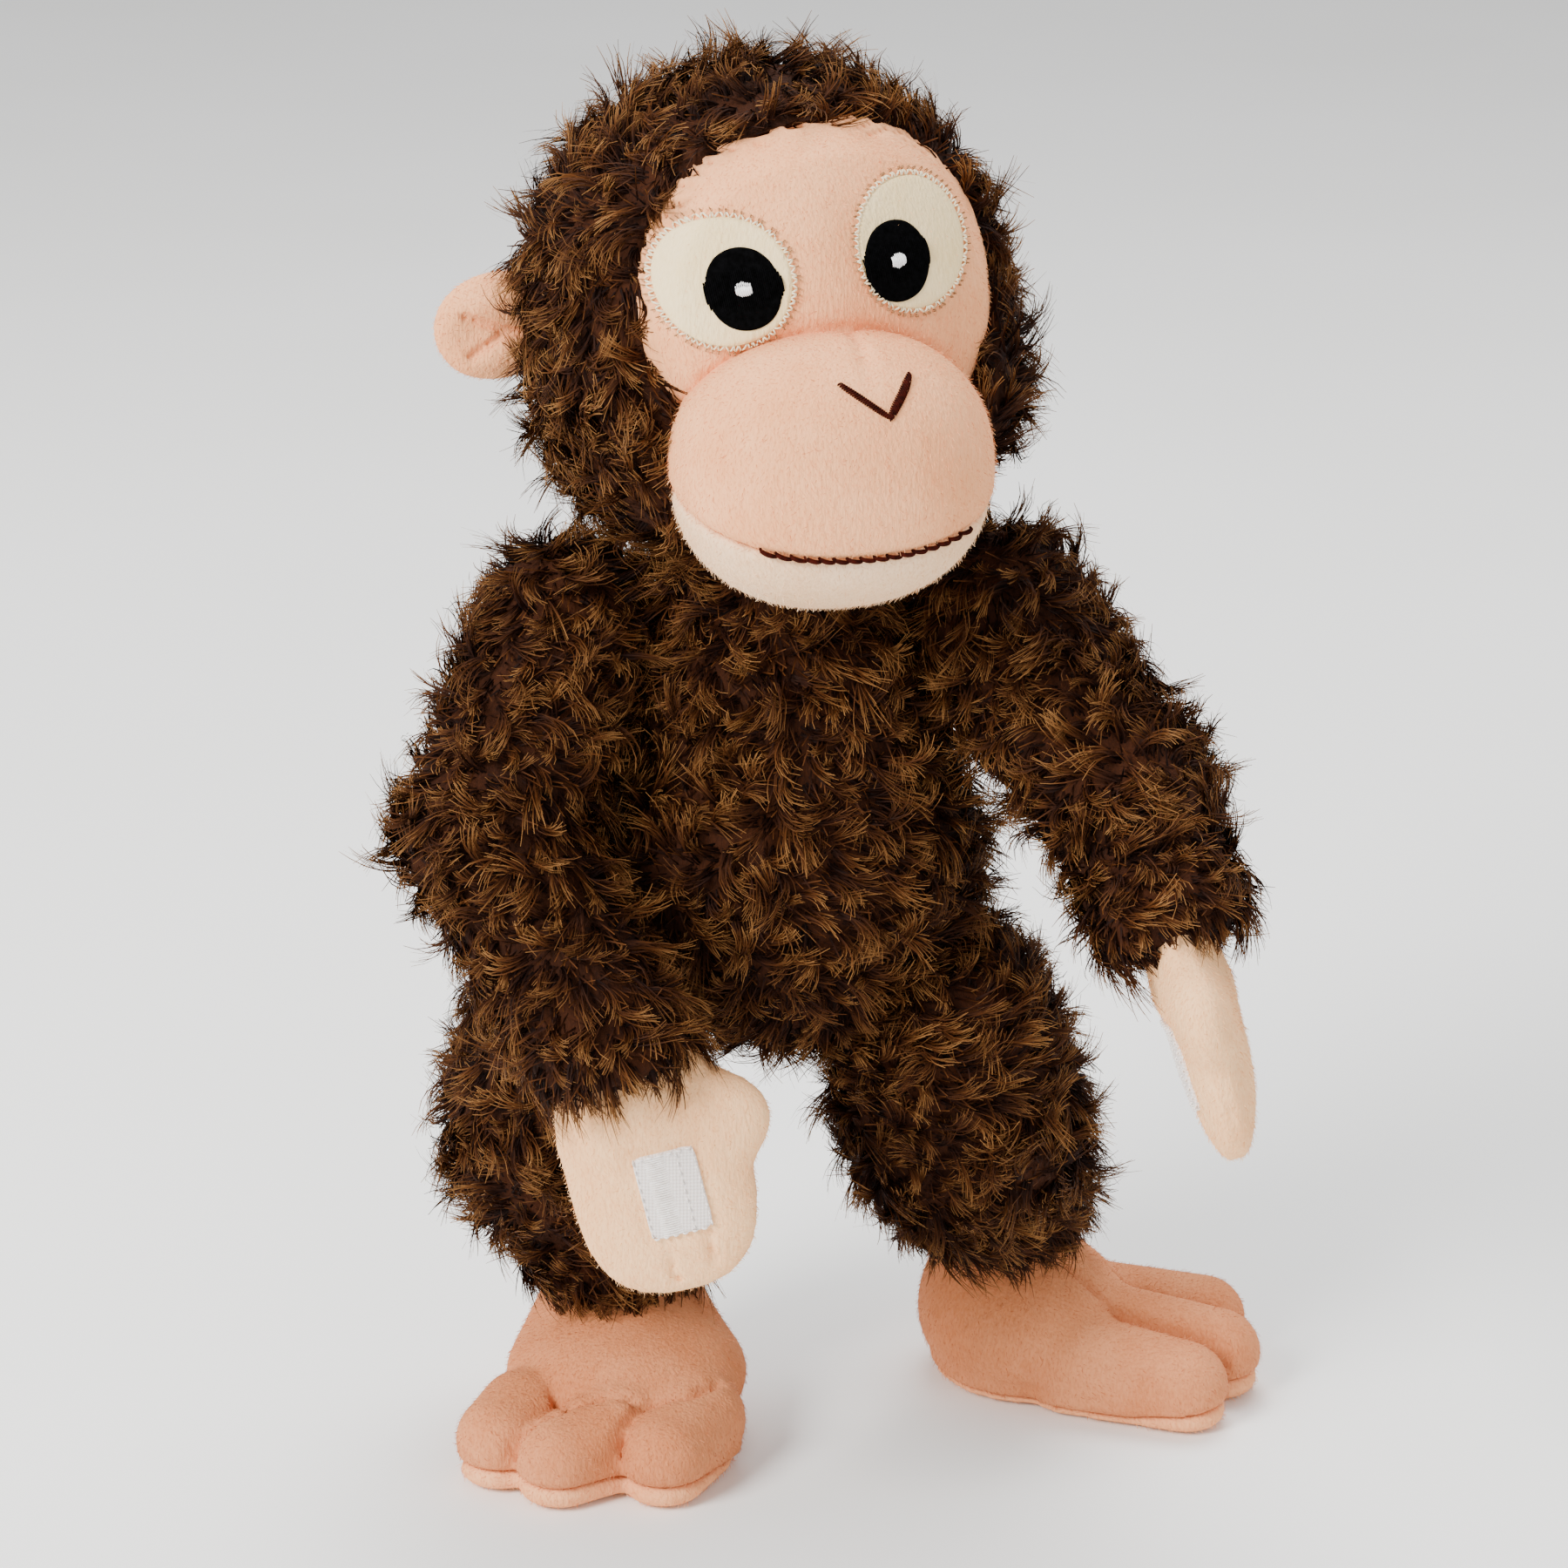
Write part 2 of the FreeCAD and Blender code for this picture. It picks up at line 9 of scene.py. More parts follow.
import bpy
import numpy as np
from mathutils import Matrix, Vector


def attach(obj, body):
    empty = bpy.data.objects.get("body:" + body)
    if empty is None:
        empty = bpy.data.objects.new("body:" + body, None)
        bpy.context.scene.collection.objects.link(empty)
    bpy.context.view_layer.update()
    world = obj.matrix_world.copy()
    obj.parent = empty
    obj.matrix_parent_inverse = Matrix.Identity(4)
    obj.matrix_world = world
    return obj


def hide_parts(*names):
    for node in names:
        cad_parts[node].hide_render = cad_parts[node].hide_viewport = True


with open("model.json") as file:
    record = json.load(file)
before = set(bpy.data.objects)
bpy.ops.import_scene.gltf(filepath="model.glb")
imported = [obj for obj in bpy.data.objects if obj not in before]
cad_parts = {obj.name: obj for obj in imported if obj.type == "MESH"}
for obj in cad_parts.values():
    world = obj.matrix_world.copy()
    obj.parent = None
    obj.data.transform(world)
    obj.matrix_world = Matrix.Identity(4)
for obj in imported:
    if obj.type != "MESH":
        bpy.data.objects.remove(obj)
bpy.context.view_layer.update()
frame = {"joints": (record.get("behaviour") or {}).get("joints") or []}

MIDDLE = np.array([15.0, -10.0, 0.0])  # the row's origin, seen from the body's axis
X, Y, Z = np.eye(3)


# -------- places

def unit(v):
    v = np.asarray(v, float)
    return v / np.maximum(np.linalg.norm(v, axis=-1, keepdims=True), 1e-9)


def turn(axis, degrees):
    """Rotation matrix about a unit axis."""
    a = math.radians(degrees)
    k = np.array([[0, -axis[2], axis[1]], [axis[2], 0, -axis[0]], [-axis[1], axis[0], 0]])
    return np.eye(3) + math.sin(a) * k + (1 - math.cos(a)) * (k @ k)


class Place:
    """A local frame: millimetres in, millimetres from the body's axis out."""

    def __init__(self, origin=(0, 0, 0), rotation=None):
        self.origin = np.array(origin, float)
        self.rotation = np.eye(3) if rotation is None else rotation

    def out(self, points):
        return np.asarray(points, float) @ self.rotation.T + self.origin

    def back(self, points):
        return (np.asarray(points, float) - self.origin) @ self.rotation

    def within(self, origin, rotation=None):
        inner = np.eye(3) if rotation is None else rotation
        return Place(self.out(np.array(origin, float)), self.rotation @ inner)


def joint_place(name):
    """Where a joint of the record turns, in millimetres from the body's axis."""
    joint = next(j for j in frame["joints"] if j["name"] == name)
    return np.array(joint["pos_m"]) * 1000 + MIDDLE


BODY = Place()
NECK = joint_place("head_nod")
SIDES = ("right", "left")
SHOULDER, WRIST, HIP, ANKLE = ({s: joint_place(f"{s}_{seam}") for s in SIDES}
                               for seam in ("shoulder_swing", "wrist_bend", "hip_swing", "ankle_bend"))
ELBOW = {"right": np.array([-69.0, -29, 170]), "left": np.array([79.0, -22, 178])}
FINGERS = {"right": np.array([-25.0, -68, 71]), "left": np.array([104.0, -65, 110])}

HEAD = Place((-5, 5, 290), turn(Z, 16) @ turn(X, -4) @ turn(Y, -9))
HEAD_HALF = np.array([61.0, 56.0, 58.0])
MUZZLE = HEAD.within((-4, -50, -32), turn(Y, 8))
MUZZLE_HALF = np.array([36.0, 31.0, 31.0])


def hand_place(side):
    """Fingers along -Z, width along X, palm towards -Y."""
    up = -unit(FINGERS[side] - WRIST[side])
    palm = -Y if side == "right" else -X
    across = unit(np.cross(-palm, up))
    return Place(WRIST[side], np.column_stack([across, np.cross(up, across), up]))


HAND = {s: hand_place(s) for s in SIDES}
FOOT = {s: Place((ANKLE[s][0], ANKLE[s][1], 0), turn(Z, a)) for s, a in (("right", -8), ("left", 78))}


# -------- fields: negative inside

def egg(points, centre, half):
    q = (points - np.asarray(centre, float)) / half
    far = np.linalg.norm(q, axis=1)
    slope = np.linalg.norm(q / half, axis=1)
    return far * (far - 1) / np.maximum(slope, 1e-9)


def bone(points, start, end, start_radius, end_radius):
    """A round limb between two balls."""
    run = np.asarray(end, float) - start
    t = np.clip((points - start) @ run / (run @ run), 0, 1)
    near = start + t[:, None] * run
    return np.linalg.norm(points - near, axis=1) - (start_radius + t * (end_radius - start_radius))


def blend(a, b, soft):
    """Union of two fields with a rounded inner corner."""
    h = np.clip(0.5 + 0.5 * (b - a) / soft, 0, 1)
    return b + (a - b) * h - soft * h * (1 - h)


def carve(a, b, soft):
    """The part of a that is inside b too, with a rounded edge."""
    return -blend(-a, -b, soft)


def groove(distance, width):
    return np.exp(-(distance / width) ** 2)


class Waves:
    """Smooth noise: a few dozen waves with a fixed seed."""

    def __init__(self, seed, length, count=24):
        rng = np.random.default_rng(seed)
        ways = unit(rng.normal(size=(count, 3)))
        self.k = ways * rng.uniform(0.6, 1.6, (count, 1)) * 2 * math.pi / length
        self.phase = rng.uniform(0, 2 * math.pi, count)
        self.scale = math.sqrt(2 / count)

    def __call__(self, points):
        return np.sin(points @ self.k.T + self.phase).sum(axis=1) * self.scale


# -------- meshes

def slope_of(field, points, step=0.05):
    return np.column_stack([(field(points + step * a) - field(points - step * a)) / (2 * step)
                            for a in np.eye(3)])


def settle(field, points, rounds=5):
    """Moves points onto the zero surface of a field."""
    for _ in range(rounds):
        g = slope_of(field, points)
        points = points - np.clip(field(points) / np.maximum((g * g).sum(1), 0.05), -2, 2)[:, None] * g
    return points


def net(field, low, high, step):
    """A closed quad mesh on the zero surface of a field, one vertex to a cell."""
    axes = [np.arange(lo, hi + step, step) for lo, hi in zip(low, high)]
    grid = np.stack(np.meshgrid(*axes, indexing="ij"), -1)
    inside = (field(grid.reshape(-1, 3)) < 0).reshape(grid.shape[:3])
    many, rows, tall = np.array(inside.shape) - 1
    count = sum(inside[i:i + many, j:j + rows, k:k + tall].astype(int)
                for i in (0, 1) for j in (0, 1) for k in (0, 1))
    used = (count > 0) & (count < 8)
    number = np.full(used.shape, -1)
    number[used] = np.arange(used.sum())
    points = grid[:-1, :-1, :-1][used] + step / 2
    quads = []
    for axis in range(3):
        first = np.moveaxis(inside, axis, 0)
        cells = np.moveaxis(number, axis, 0)
        change = first[:-1, 1:-1, 1:-1] != first[1:, 1:-1, 1:-1]
        i, j, k = np.nonzero(change)
        around = [cells[i, j + dj, k + dk] for dj, dk in ((0, 0), (1, 0), (1, 1), (0, 1))]
        quad = np.stack(around, 1)
        flip = first[:-1, 1:-1, 1:-1][change] == (axis == 1)
        quad[flip] = quad[flip][:, ::-1]
        quads.append(quad)
    return settle(field, points), np.concatenate(quads)


def new_mesh(name, points, faces, place, material, uv=None, smooth=True):
    """An object from millimetres in a place. Faces are rows of one length."""
    mesh = bpy.data.meshes.new(name)
    points = (place.out(points) - MIDDLE) / 1000
    faces = np.asarray(faces)
    sides = faces.shape[1]
    mesh.vertices.add(len(points))
    mesh.vertices.foreach_set("co", points.astype(np.float32).ravel())
    mesh.loops.add(faces.size)
    mesh.loops.foreach_set("vertex_index", faces.astype(np.int32).ravel())
    mesh.polygons.add(len(faces))
    mesh.polygons.foreach_set("loop_start", np.arange(0, faces.size, sides, dtype=np.int32))
    if uv is not None:
        layer = mesh.uv_layers.new(name="OFBake")
        layer.uv.foreach_set("vector", np.asarray(uv, np.float32).ravel())
    mesh.update(calc_edges=True)
    mesh.polygons.foreach_set("use_smooth", np.full(len(faces), smooth))
    mesh.materials.append(material)
    piece = bpy.data.objects.new(name, mesh)
    bpy.context.scene.collection.objects.link(piece)
    return piece


def points_of(piece):
    flat = np.empty(len(piece.data.vertices) * 3, np.float32)
    piece.data.vertices.foreach_get("co", flat)
    return flat.reshape(-1, 3).astype(float) * 1000 + MIDDLE


def set_points(piece, points):
    piece.data.vertices.foreach_set("co", ((points - MIDDLE) / 1000).astype(np.float32).ravel())
    piece.data.update()


def subdivide(piece, levels=1):
    modifier = piece.modifiers.new("smooth", "SUBSURF")
    modifier.levels = modifier.render_levels = levels
    return apply_modifiers(piece)


def apply_modifiers(piece):
    shape = bpy.data.meshes.new_from_object(piece.evaluated_get(bpy.context.evaluated_depsgraph_get()))
    old = piece.data
    piece.modifiers.clear()
    piece.data = shape
    shape.name = piece.name
    bpy.data.meshes.remove(old)
    return piece


def dress(piece, body, replaced=()):
    """Says which body a piece rides and what it replaces."""
    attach(piece, body)
    if replaced:
        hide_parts(*replaced)
    return piece


# -------- materials

def colour(code):
    """Linear red, green, blue and alpha of a #rrggbb colour."""
    parts = [int(code[i:i + 2], 16) / 255 for i in (1, 3, 5)]
    return [((c + 0.055) / 1.055) ** 2.4 if c > 0.04045 else c / 12.92 for c in parts] + [1.0]


class Nodes:
    """A material's node tree, with a Principled shader to plug into."""

    def __init__(self, name, roughness, sheen=0.0, specular=0.3, sheen_tint="#ffffff"):
        self.material = bpy.data.materials.new(name)
        self.material.use_nodes = True
        self.tree = self.material.node_tree
        self.shader = self.tree.nodes["Principled BSDF"]
        self.shader.inputs["Roughness"].default_value = roughness
        self.shader.inputs["Sheen Weight"].default_value = sheen
        self.shader.inputs["Sheen Roughness"].default_value = 0.5
        self.shader.inputs["Sheen Tint"].default_value = colour(sheen_tint)
        self.shader.inputs["Specular IOR Level"].default_value = specular

    def add(self, kind, **settings):
        made = self.tree.nodes.new("ShaderNode" + kind)
        for key, value in settings.items():
            if hasattr(made, key):
                setattr(made, key, value)
            else:
                made.inputs[key.replace("_", " ")].default_value = value
        return made

    def link(self, source, target):
        self.tree.links.new(source, target)

    def noise(self, scale, detail=2.0, stretch=(1, 1, 1)):
        """Noise over the piece itself; scale is in waves to the metre."""
        where = self.add("TexCoord")
        mapping = self.add("Mapping")
        mapping.inputs["Scale"].default_value = stretch
        self.link(where.outputs["Object"], mapping.inputs["Vector"])
        noise = self.add("TexNoise", Scale=scale, Detail=detail)
        self.link(mapping.outputs["Vector"], noise.inputs["Vector"])
        return noise.outputs["Fac"]

    def ramp(self, source, stops):
        ramp = self.add("ValToRGB")
        cells = ramp.color_ramp.elements
        while len(cells) < len(stops):
            cells.new(0.5)
        for cell, (at, code) in zip(cells, stops):
            cell.position = at
            cell.color = colour(code)
        self.link(source, ramp.inputs["Fac"])
        return ramp.outputs["Color"]

    def mix(self, factor, first, second, blend_type="MIX"):
        mix = self.add("Mix", data_type="RGBA", blend_type=blend_type)
        for socket, value in ((mix.inputs[0], factor), (mix.inputs[6], first), (mix.inputs[7], second)):
            if isinstance(value, (int, float, list)):
                socket.default_value = value
            else:
                self.link(value, socket)
        return mix.outputs[2]

    def paint(self, source):
        self.link(source, self.shader.inputs["Base Color"])

    def bump(self, height, strength, distance=0.0004):
        bump = self.add("Bump", Strength=strength, Distance=distance)
        self.link(height, bump.inputs["Height"])
        self.link(bump.outputs["Normal"], self.shader.inputs["Normal"])


def plush_cloth(name, light, dark, sheen=0.35):
    """Short pile: two close tones in soft patches, and a fine nap."""
    m = Nodes(name, roughness=0.92, sheen=sheen, specular=0.15, sheen_tint=light)
    soft = m.ramp(m.noise(55, 3), [(0.35, dark), (0.65, light)])
    fine = m.ramp(m.noise(1500, 2, (1, 1, 0.35)), [(0.3, dark), (0.6, light)])
    m.paint(m.mix(0.4, soft, fine))
    m.bump(m.noise(1300, 3, (1, 1, 0.3)), 0.7, 0.0006)
    return m.material


def strand_paint(name, stops, patch_dark, patch_light, roughness=0.6, sheen=0.15, specular=0.3):
    """Fibres coloured from root to tip, each tuft a little different, in lighter and darker patches; in the
    short piles the darkest patches are painted shade in the partings.
    """
    m = Nodes(name, roughness=roughness, sheen=sheen, specular=specular)
    where = m.add("UVMap", uv_map="OFBake")
    split = m.add("SeparateXYZ")
    m.link(where.outputs["UV"], split.inputs["Vector"])
    along = m.ramp(split.outputs["Y"], stops)
    each = m.ramp(split.outputs["X"], [(0.0, patch_dark), (1.0, patch_light)])
    m.paint(m.mix(1.0, along, each, "MULTIPLY"))
    return m.material


def short_pile(name, root, tip, shadow):
    """The fibres of a short-pile cloth, a little lighter at their tips; shadow is the darkest colour
    multiplied in, for darker fibres at random and for the painted shade in the pile's partings.
    """
    return strand_paint(name, [(0.0, root), (1.0, tip)], shadow, "#ffffff", 0.9, 0.15, 0.1)


def thread_cloth(name, light, dark, roughness=0.6, sheen=0.1, specular=0.25):
    """Embroidery thread: a shine along the twist and slightly uneven dye."""
    m = Nodes(name, roughness=roughness, sheen=sheen, specular=specular, sheen_tint=light)
    m.paint(m.ramp(m.noise(900, 2), [(0.3, dark), (0.7, light)]))
    m.bump(m.noise(4000, 1, (1, 1, 0.4)), 0.4, 0.0002)
    return m.material


def woven_cloth(name, light, dark, threads=1400):
    """A flat weave, crossed threads in two directions."""
    m = Nodes(name, roughness=0.85, sheen=0.2, specular=0.2, sheen_tint=light)
    where = m.add("TexCoord")
    over = m.add("TexWave", Scale=threads / 6, Distortion=0.6, bands_direction="X")
    under = m.add("TexWave", Scale=threads / 6, Distortion=0.6, bands_direction="Z")
    for wave in (over, under):
        m.link(where.outputs["Object"], wave.inputs["Vector"])
    cross = m.mix(0.5, over.outputs["Color"], under.outputs["Color"])
    m.paint(m.ramp(cross, [(0.2, dark), (0.75, light)]))
    m.bump(cross, 0.5, 0.0003)
    return m.material


BROWN_SKIN = plush_cloth("brown_backing", "#381a08", "#200d04", 0.0)
# The fur's root-to-tip ramp is partly painted light: over the fur's own brown, the dark roots are painted
# shade deep in the pile and the light tips are a painted highlight where light catches them.
FUR = strand_paint("brown_pile", [(0.0, "#190702"), (0.28, "#2d1304"), (0.66, "#573212"), (1.0, "#9e7344")],
                   "#75583f", "#fffaf2", 0.7, 0.0, 0.1)
PEACH = plush_cloth("peach_plush", "#f9b482", "#ea9d6a")
PEACH_PILE = short_pile("peach_pile", "#ed9d68", "#ffc592", "#d9ae95")
CHIN = plush_cloth("pale_plush", "#fad5ad", "#edbf92")
CHIN_PILE = short_pile("pale_pile", "#efc194", "#ffdfb8", "#e4cbb6")
HAND_CLOTH = plush_cloth("hand_plush", "#fecd98", "#f2b47e")
HAND_PILE = short_pile("hand_pile", "#f4b57d", "#ffd6a4", "#dfc2a4")
FOOT_CLOTH = plush_cloth("foot_plush", "#d78f62", "#c17447")
FOOT_PILE = short_pile("foot_pile", "#be6f43", "#e19e71", "#d5ab92")
EYE_CLOTH = plush_cloth("eye_cloth", "#f7dfae", "#eccf96", 0.1)
CREAM_THREAD = thread_cloth("cream_thread", "#f8ebcb", "#e6d1a6")
BLACK_THREAD = thread_cloth("black_thread", "#050506", "#000000", 0.85, 0.0, 0.03)
WHITE_THREAD = thread_cloth("white_thread", "#ffffff", "#e8e8e8")
DARK_THREAD = thread_cloth("dark_thread", "#3d1008", "#1d0502", 0.8, 0.0, 0.05)
# Painted shade: the colour of the shade in the needle holes round the eye patches.
NEEDLE_HOLE_SHADE = thread_cloth("needle_hole_shade", "#a9805c", "#7d583a", 0.9, 0.0, 0.05)
TAPE = woven_cloth("hook_tape", "#f4ebe6", "#ddd0c8", 2400)
TAPE_THREAD = thread_cloth("tape_thread", "#fbf6f2", "#e6dcd4")


# -------- strands

def quad_normals(points, faces):
    """Along each quad's normal, and twice as long as its area."""
    corners = points[faces]
    return np.cross(corners[:, 2] - corners[:, 0], corners[:, 3] - corners[:, 1])


def corner_normals(points, faces):
    """The skin's normal at each of its points."""
    across = quad_normals(points, faces)
    total = np.zeros_like(points)
    for corner in range(4):
        np.add.at(total, faces[:, corner], across)
    return unit(total)


def scatter(points, faces, spacing, rng, keep=None):
    """Roots spread over a skin, none nearer to another than the spacing, with the skin's normals."""
    corners = points[faces]
    area = np.linalg.norm(quad_normals(points, faces), axis=1) / 2
    tries = int(area.sum() / spacing ** 2 * 5)
    chosen = rng.choice(len(faces), tries, p=area / area.sum())
    u, v = rng.uniform(size=(2, tries, 1))
    share = np.stack([(1 - u) * (1 - v), u * (1 - v), u * v, (1 - u) * v])
    spots = (share * corners[chosen].transpose(1, 0, 2)).sum(axis=0)
    normals = unit((share * corner_normals(points, faces)[faces[chosen]].transpose(1, 0, 2)).sum(axis=0))
    if keep is not None:
        kept = keep(spots)
        spots, normals = spots[kept], normals[kept]
    cells = {}
    taken = []
    for number, (cell, spot) in enumerate(zip(map(tuple, np.floor(spots / spacing).astype(int)), spots)):
        near = (cells.get((cell[0] + i, cell[1] + j, cell[2] + k))
                for i in (-1, 0, 1) for j in (-1, 0, 1) for k in (-1, 0, 1))
        if all(other is None or ((other - spot) ** 2).sum() > spacing ** 2 for other in near):
            cells[cell] = spot
            taken.append(number)
    return spots[taken], normals[taken]


def ribbons(lines, normals, widths, shade, rng, tip=1.0):
    """Flat fibres along lines of points (fibre, ring, xyz): vertices, quads and root-to-tip UVs."""
    count, rings = lines.shape[:2]
    run = unit(np.gradient(lines, axis=1))
    facing = normals[:, None] * 0.8 + rng.normal(size=(count, 1, 3)) * 0.45
    side = unit(np.cross(run, facing)) * widths[..., None] / 2
    points = np.stack([lines - side, lines + side], 2).reshape(-1, 3)
    base = (np.arange(count)[:, None] * rings + np.arange(rings - 1)) * 2
    quads = np.stack([base, base + 1, base + 3, base + 2], -1).reshape(-1, 4)
    low = np.broadcast_to(np.arange(rings - 1) / (rings - 1) * tip, (count, rings - 1))
    high = low + tip / (rings - 1)
    left = np.broadcast_to(shade[:, None] * 0.99, (count, rings - 1))
    right = left + 0.004
    uv = np.stack([left, low, right, low, right, high, left, high], -1).reshape(-1, 2)
    return points, quads, np.clip(uv, 0.001, 0.999)


def heading(points, normals, waves, swing, down):
    """The way the pile lies: mostly one way along the skin, swirled by slow noise."""
    flat = unit(down - (normals @ down)[:, None] * normals)
    across = np.cross(normals, flat)
    angle = np.radians(swing * waves(points))[:, None]
    return flat * np.cos(angle) + across * np.sin(angle)


def curls(roots, normals, flow, calm, rng, per_tuft, length, width, spread):
    """Curly tufts: fibres that rise together, clump, bend over sideways and fray at their tips."""
    tufts, rings = len(roots), 6
    s = np.linspace(0, 1, rings)
    shape = (tufts, per_tuft, 1)
    across = np.cross(normals, flow)
    wild = calm[:, None, None]
    rise = np.radians(rng.normal(60, 13, (tufts, 1, 1)) * (0.55 + 0.45 * wild) + rng.normal(0, 8, shape))
    fall = np.radians(rng.normal(2, 24, (tufts, 1, 1)) * wild + rng.normal(0, 9, shape))
    swirl = np.radians(rng.choice([-1, 1], (tufts, 1, 1)) * rng.uniform(15, 125, (tufts, 1, 1))
                       * rng.uniform(0.8, 1.2, shape)) * wild
    start = np.radians(rng.normal(0, 40, (tufts, 1, 1)) * wild + rng.normal(0, 9, shape))
    lift = rise + (fall - rise) * s ** 0.8
    bearing = start + swirl * s ** 1.3
    long = length * rng.uniform(0.5, 1.3, (tufts, 1, 1)) * rng.uniform(0.62, 1.08, shape)
    step = np.cos(lift)[..., None] * (np.cos(bearing)[..., None] * flow[:, None, None]
                                      + np.sin(bearing)[..., None] * across[:, None, None])
    step = (step + np.sin(lift)[..., None] * normals[:, None, None]) * (long / (rings - 1))[..., None]
    line = np.cumsum(step, axis=2) - step[:, :, :1]
    angle = rng.uniform(0, 2 * math.pi, shape)
    reach = spread * rng.uniform(0.5, 1.2, (tufts, 1, 1)) * np.sqrt(rng.uniform(0, 1, shape))
    off = (np.cos(angle) * reach)[..., None] * flow[:, None, None]
    off = off + (np.sin(angle) * reach)[..., None] * across[:, None, None]
    clump = 1 - 0.8 * np.clip(s * 1.25, 0, 1) ** 1.3
    fray = rng.normal(0, 0.6, (tufts, per_tuft, 1, 3)) * (s ** 2.2)[:, None]
    line = line + roots[:, None, None] + off * clump[:, None] + fray
    widths = np.broadcast_to(width * (1 - 0.72 * s ** 1.5), (tufts * per_tuft, rings))
    shade = (rng.uniform(0, 0.65, (tufts, 1)) + rng.uniform(0, 0.35, (tufts, per_tuft))).ravel()
    spread_normals = np.repeat(normals, per_tuft, axis=0)
    return ribbons(line.reshape(-1, rings, 3), spread_normals, widths, shade, rng)


def nap(roots, normals, flow, rng, length, width, tip=1.0):
    """Short fibres of a cut pile, one from each root, leaning one way and parted in small tracks, which are
    darkened with painted shade.
    """
    count, rings = len(roots), 3
    s = np.linspace(0, 1, rings)
    track = Waves(5, 3.2)(roots)[:, None]
    lean = np.radians(rng.normal(38, 10, (count, 1)) + 12 * Waves(6, 2.6)(roots)[:, None])
    lift = lean * (1 - 0.4 * s)
    bearing = np.radians(rng.normal(0, 18, (count, 1)) + 34 * track)
    across = np.cross(normals, flow)
    step = (np.cos(lift) * np.cos(bearing))[..., None] * flow[:, None]
    step = step + (np.cos(lift) * np.sin(bearing))[..., None] * across[:, None]
    step = step + np.sin(lift)[..., None] * normals[:, None]
    step = step * (length * rng.uniform(0.6, 1.3, (count, 1)) / (rings - 1))[..., None]
    line = roots[:, None] + np.cumsum(step, axis=1) - step[:, :1] - 0.1 * normals[:, None]
    widths = np.broadcast_to(width * (1 - 0.6 * s), (count, rings))
    # Painted shade: strands in the pile's partings are darkened towards the pile's shadow colour.
    parting_shade = np.clip(Waves(8, 2.3)(roots * [1, 1, 0.4]) - 0.5, 0, 1)
    shade = np.clip(rng.uniform(0.6, 1, count) - 0.8 * parting_shade, 0, 1)
    return ribbons(line, normals, widths, shade, rng, tip)


# -------- furry parts

PILE_DEPTH = 6.5  # the curls stand this far out from their backing
NET_STEP = 4.0  # size of the quads of a backing
UNDERCOAT_LENGTH = 6.5
UNDERCOAT_SPACING, UNDERCOAT_WIDTH = ((1.7, 0.55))
TUFT_LENGTH, TUFT_SPREAD = 13.0, 2.0
TUFT_SPACING, TUFT_FIBRES, TUFT_WIDTH = ((3.5, 19, 0.38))
FUR_SWING = 95  # degrees by which the lie of the fur wanders
CALM_DEPTH = 16  # the curls fall in line from this near to an open end
RIM_HELD = 3  # a backing doesn't bulge this near to an open end
BACKING_CAP = 1.2  # the furthest that stuffing presses a backing out
SIMULATION_FRAMES = 20


def torso_field(p):
    belly = egg(p, (-1, 6, 150), np.array([54.0, 45, 50]) - PILE_DEPTH)
    chest = egg(p, (0, 5, 190), np.array([43.0, 37, 41]) - PILE_DEPTH)
    return blend(belly, chest, 14)


def neck_field(p):
    return bone(p, NECK - (0, 0, 22), NECK, 26.0, 25.5)


FACE_MIDDLE = np.array([4.5, 1.0])  # side and up, in the head's frame
FACE_HALF = np.array([41.0, 39.0])
FACE_POWER = 2.3  # a little squarer than an ellipse


def face_reach(p):
    """How far out a point of the head is on the face outline: 1 on the outline itself."""
    side, up = p[:, 0] - FACE_MIDDLE[0], p[:, 2] - FACE_MIDDLE[1]
    far = np.abs(side / FACE_HALF[0]) ** FACE_POWER + np.abs(up / FACE_HALF[1]) ** FACE_POWER
    return far ** (1 / FACE_POWER)


def head_field(p):
    """The hood: an egg, squarer below where it comes down over the neck, and lower under the face."""
    half = HEAD_HALF - PILE_DEPTH
    power = 2.0 + 1.4 * np.clip(-p[:, 2] / 35, 0, 1)
    q = np.abs(p / half)
    far = (q ** power[:, None]).sum(axis=1) ** (1 / power)
    under_face = np.clip(-p[:, 1] / 8, 0, 1) * np.clip((1.0 - face_reach(p)) / 0.06, 0, 1)
    return (far - 1) * 0.9 * half.mean() + 5 * under_face


def sleeve_end(side):
    """Which way a sleeve's open end faces, and how far past the wrist it is."""
    forearm, down = unit(WRIST[side] - ELBOW[side]), unit(FINGERS[side] - WRIST[side])
    return unit(forearm + 4 * down), 4.0 if side == "right" else 5.0


def arm_field(side):
    shoulder, elbow, wrist = SHOULDER[side], ELBOW[side], WRIST[side]
    facing, past = sleeve_end(side)

    def field(p):
        upper = bone(p, shoulder + (0, 0, 1), elbow, 21.5, 18.5)
        lower = bone(p, elbow, wrist + 3 * facing, 18.5, 17.5)
        return carve(blend(upper, lower, 5), (p - wrist) @ facing - past, 3)
    return field


KNEE = {"right": HIP["right"] + (-4, 4, -28), "left": HIP["left"] + (6, 9, -28)}
LEG_END = {"right": ANKLE["right"][2] - 1, "left": ANKLE["left"][2] + 6}


def leg_field(side):
    hip, knee, ankle = HIP[side], KNEE[side], ANKLE[side]

    def field(p):
        tube = blend(bone(p, hip, knee, 26.5, 28.0), bone(p, knee, ankle, 28.0, 19.5), 6)
        return carve(tube, LEG_END[side] - p[:, 2], 4)
    return field


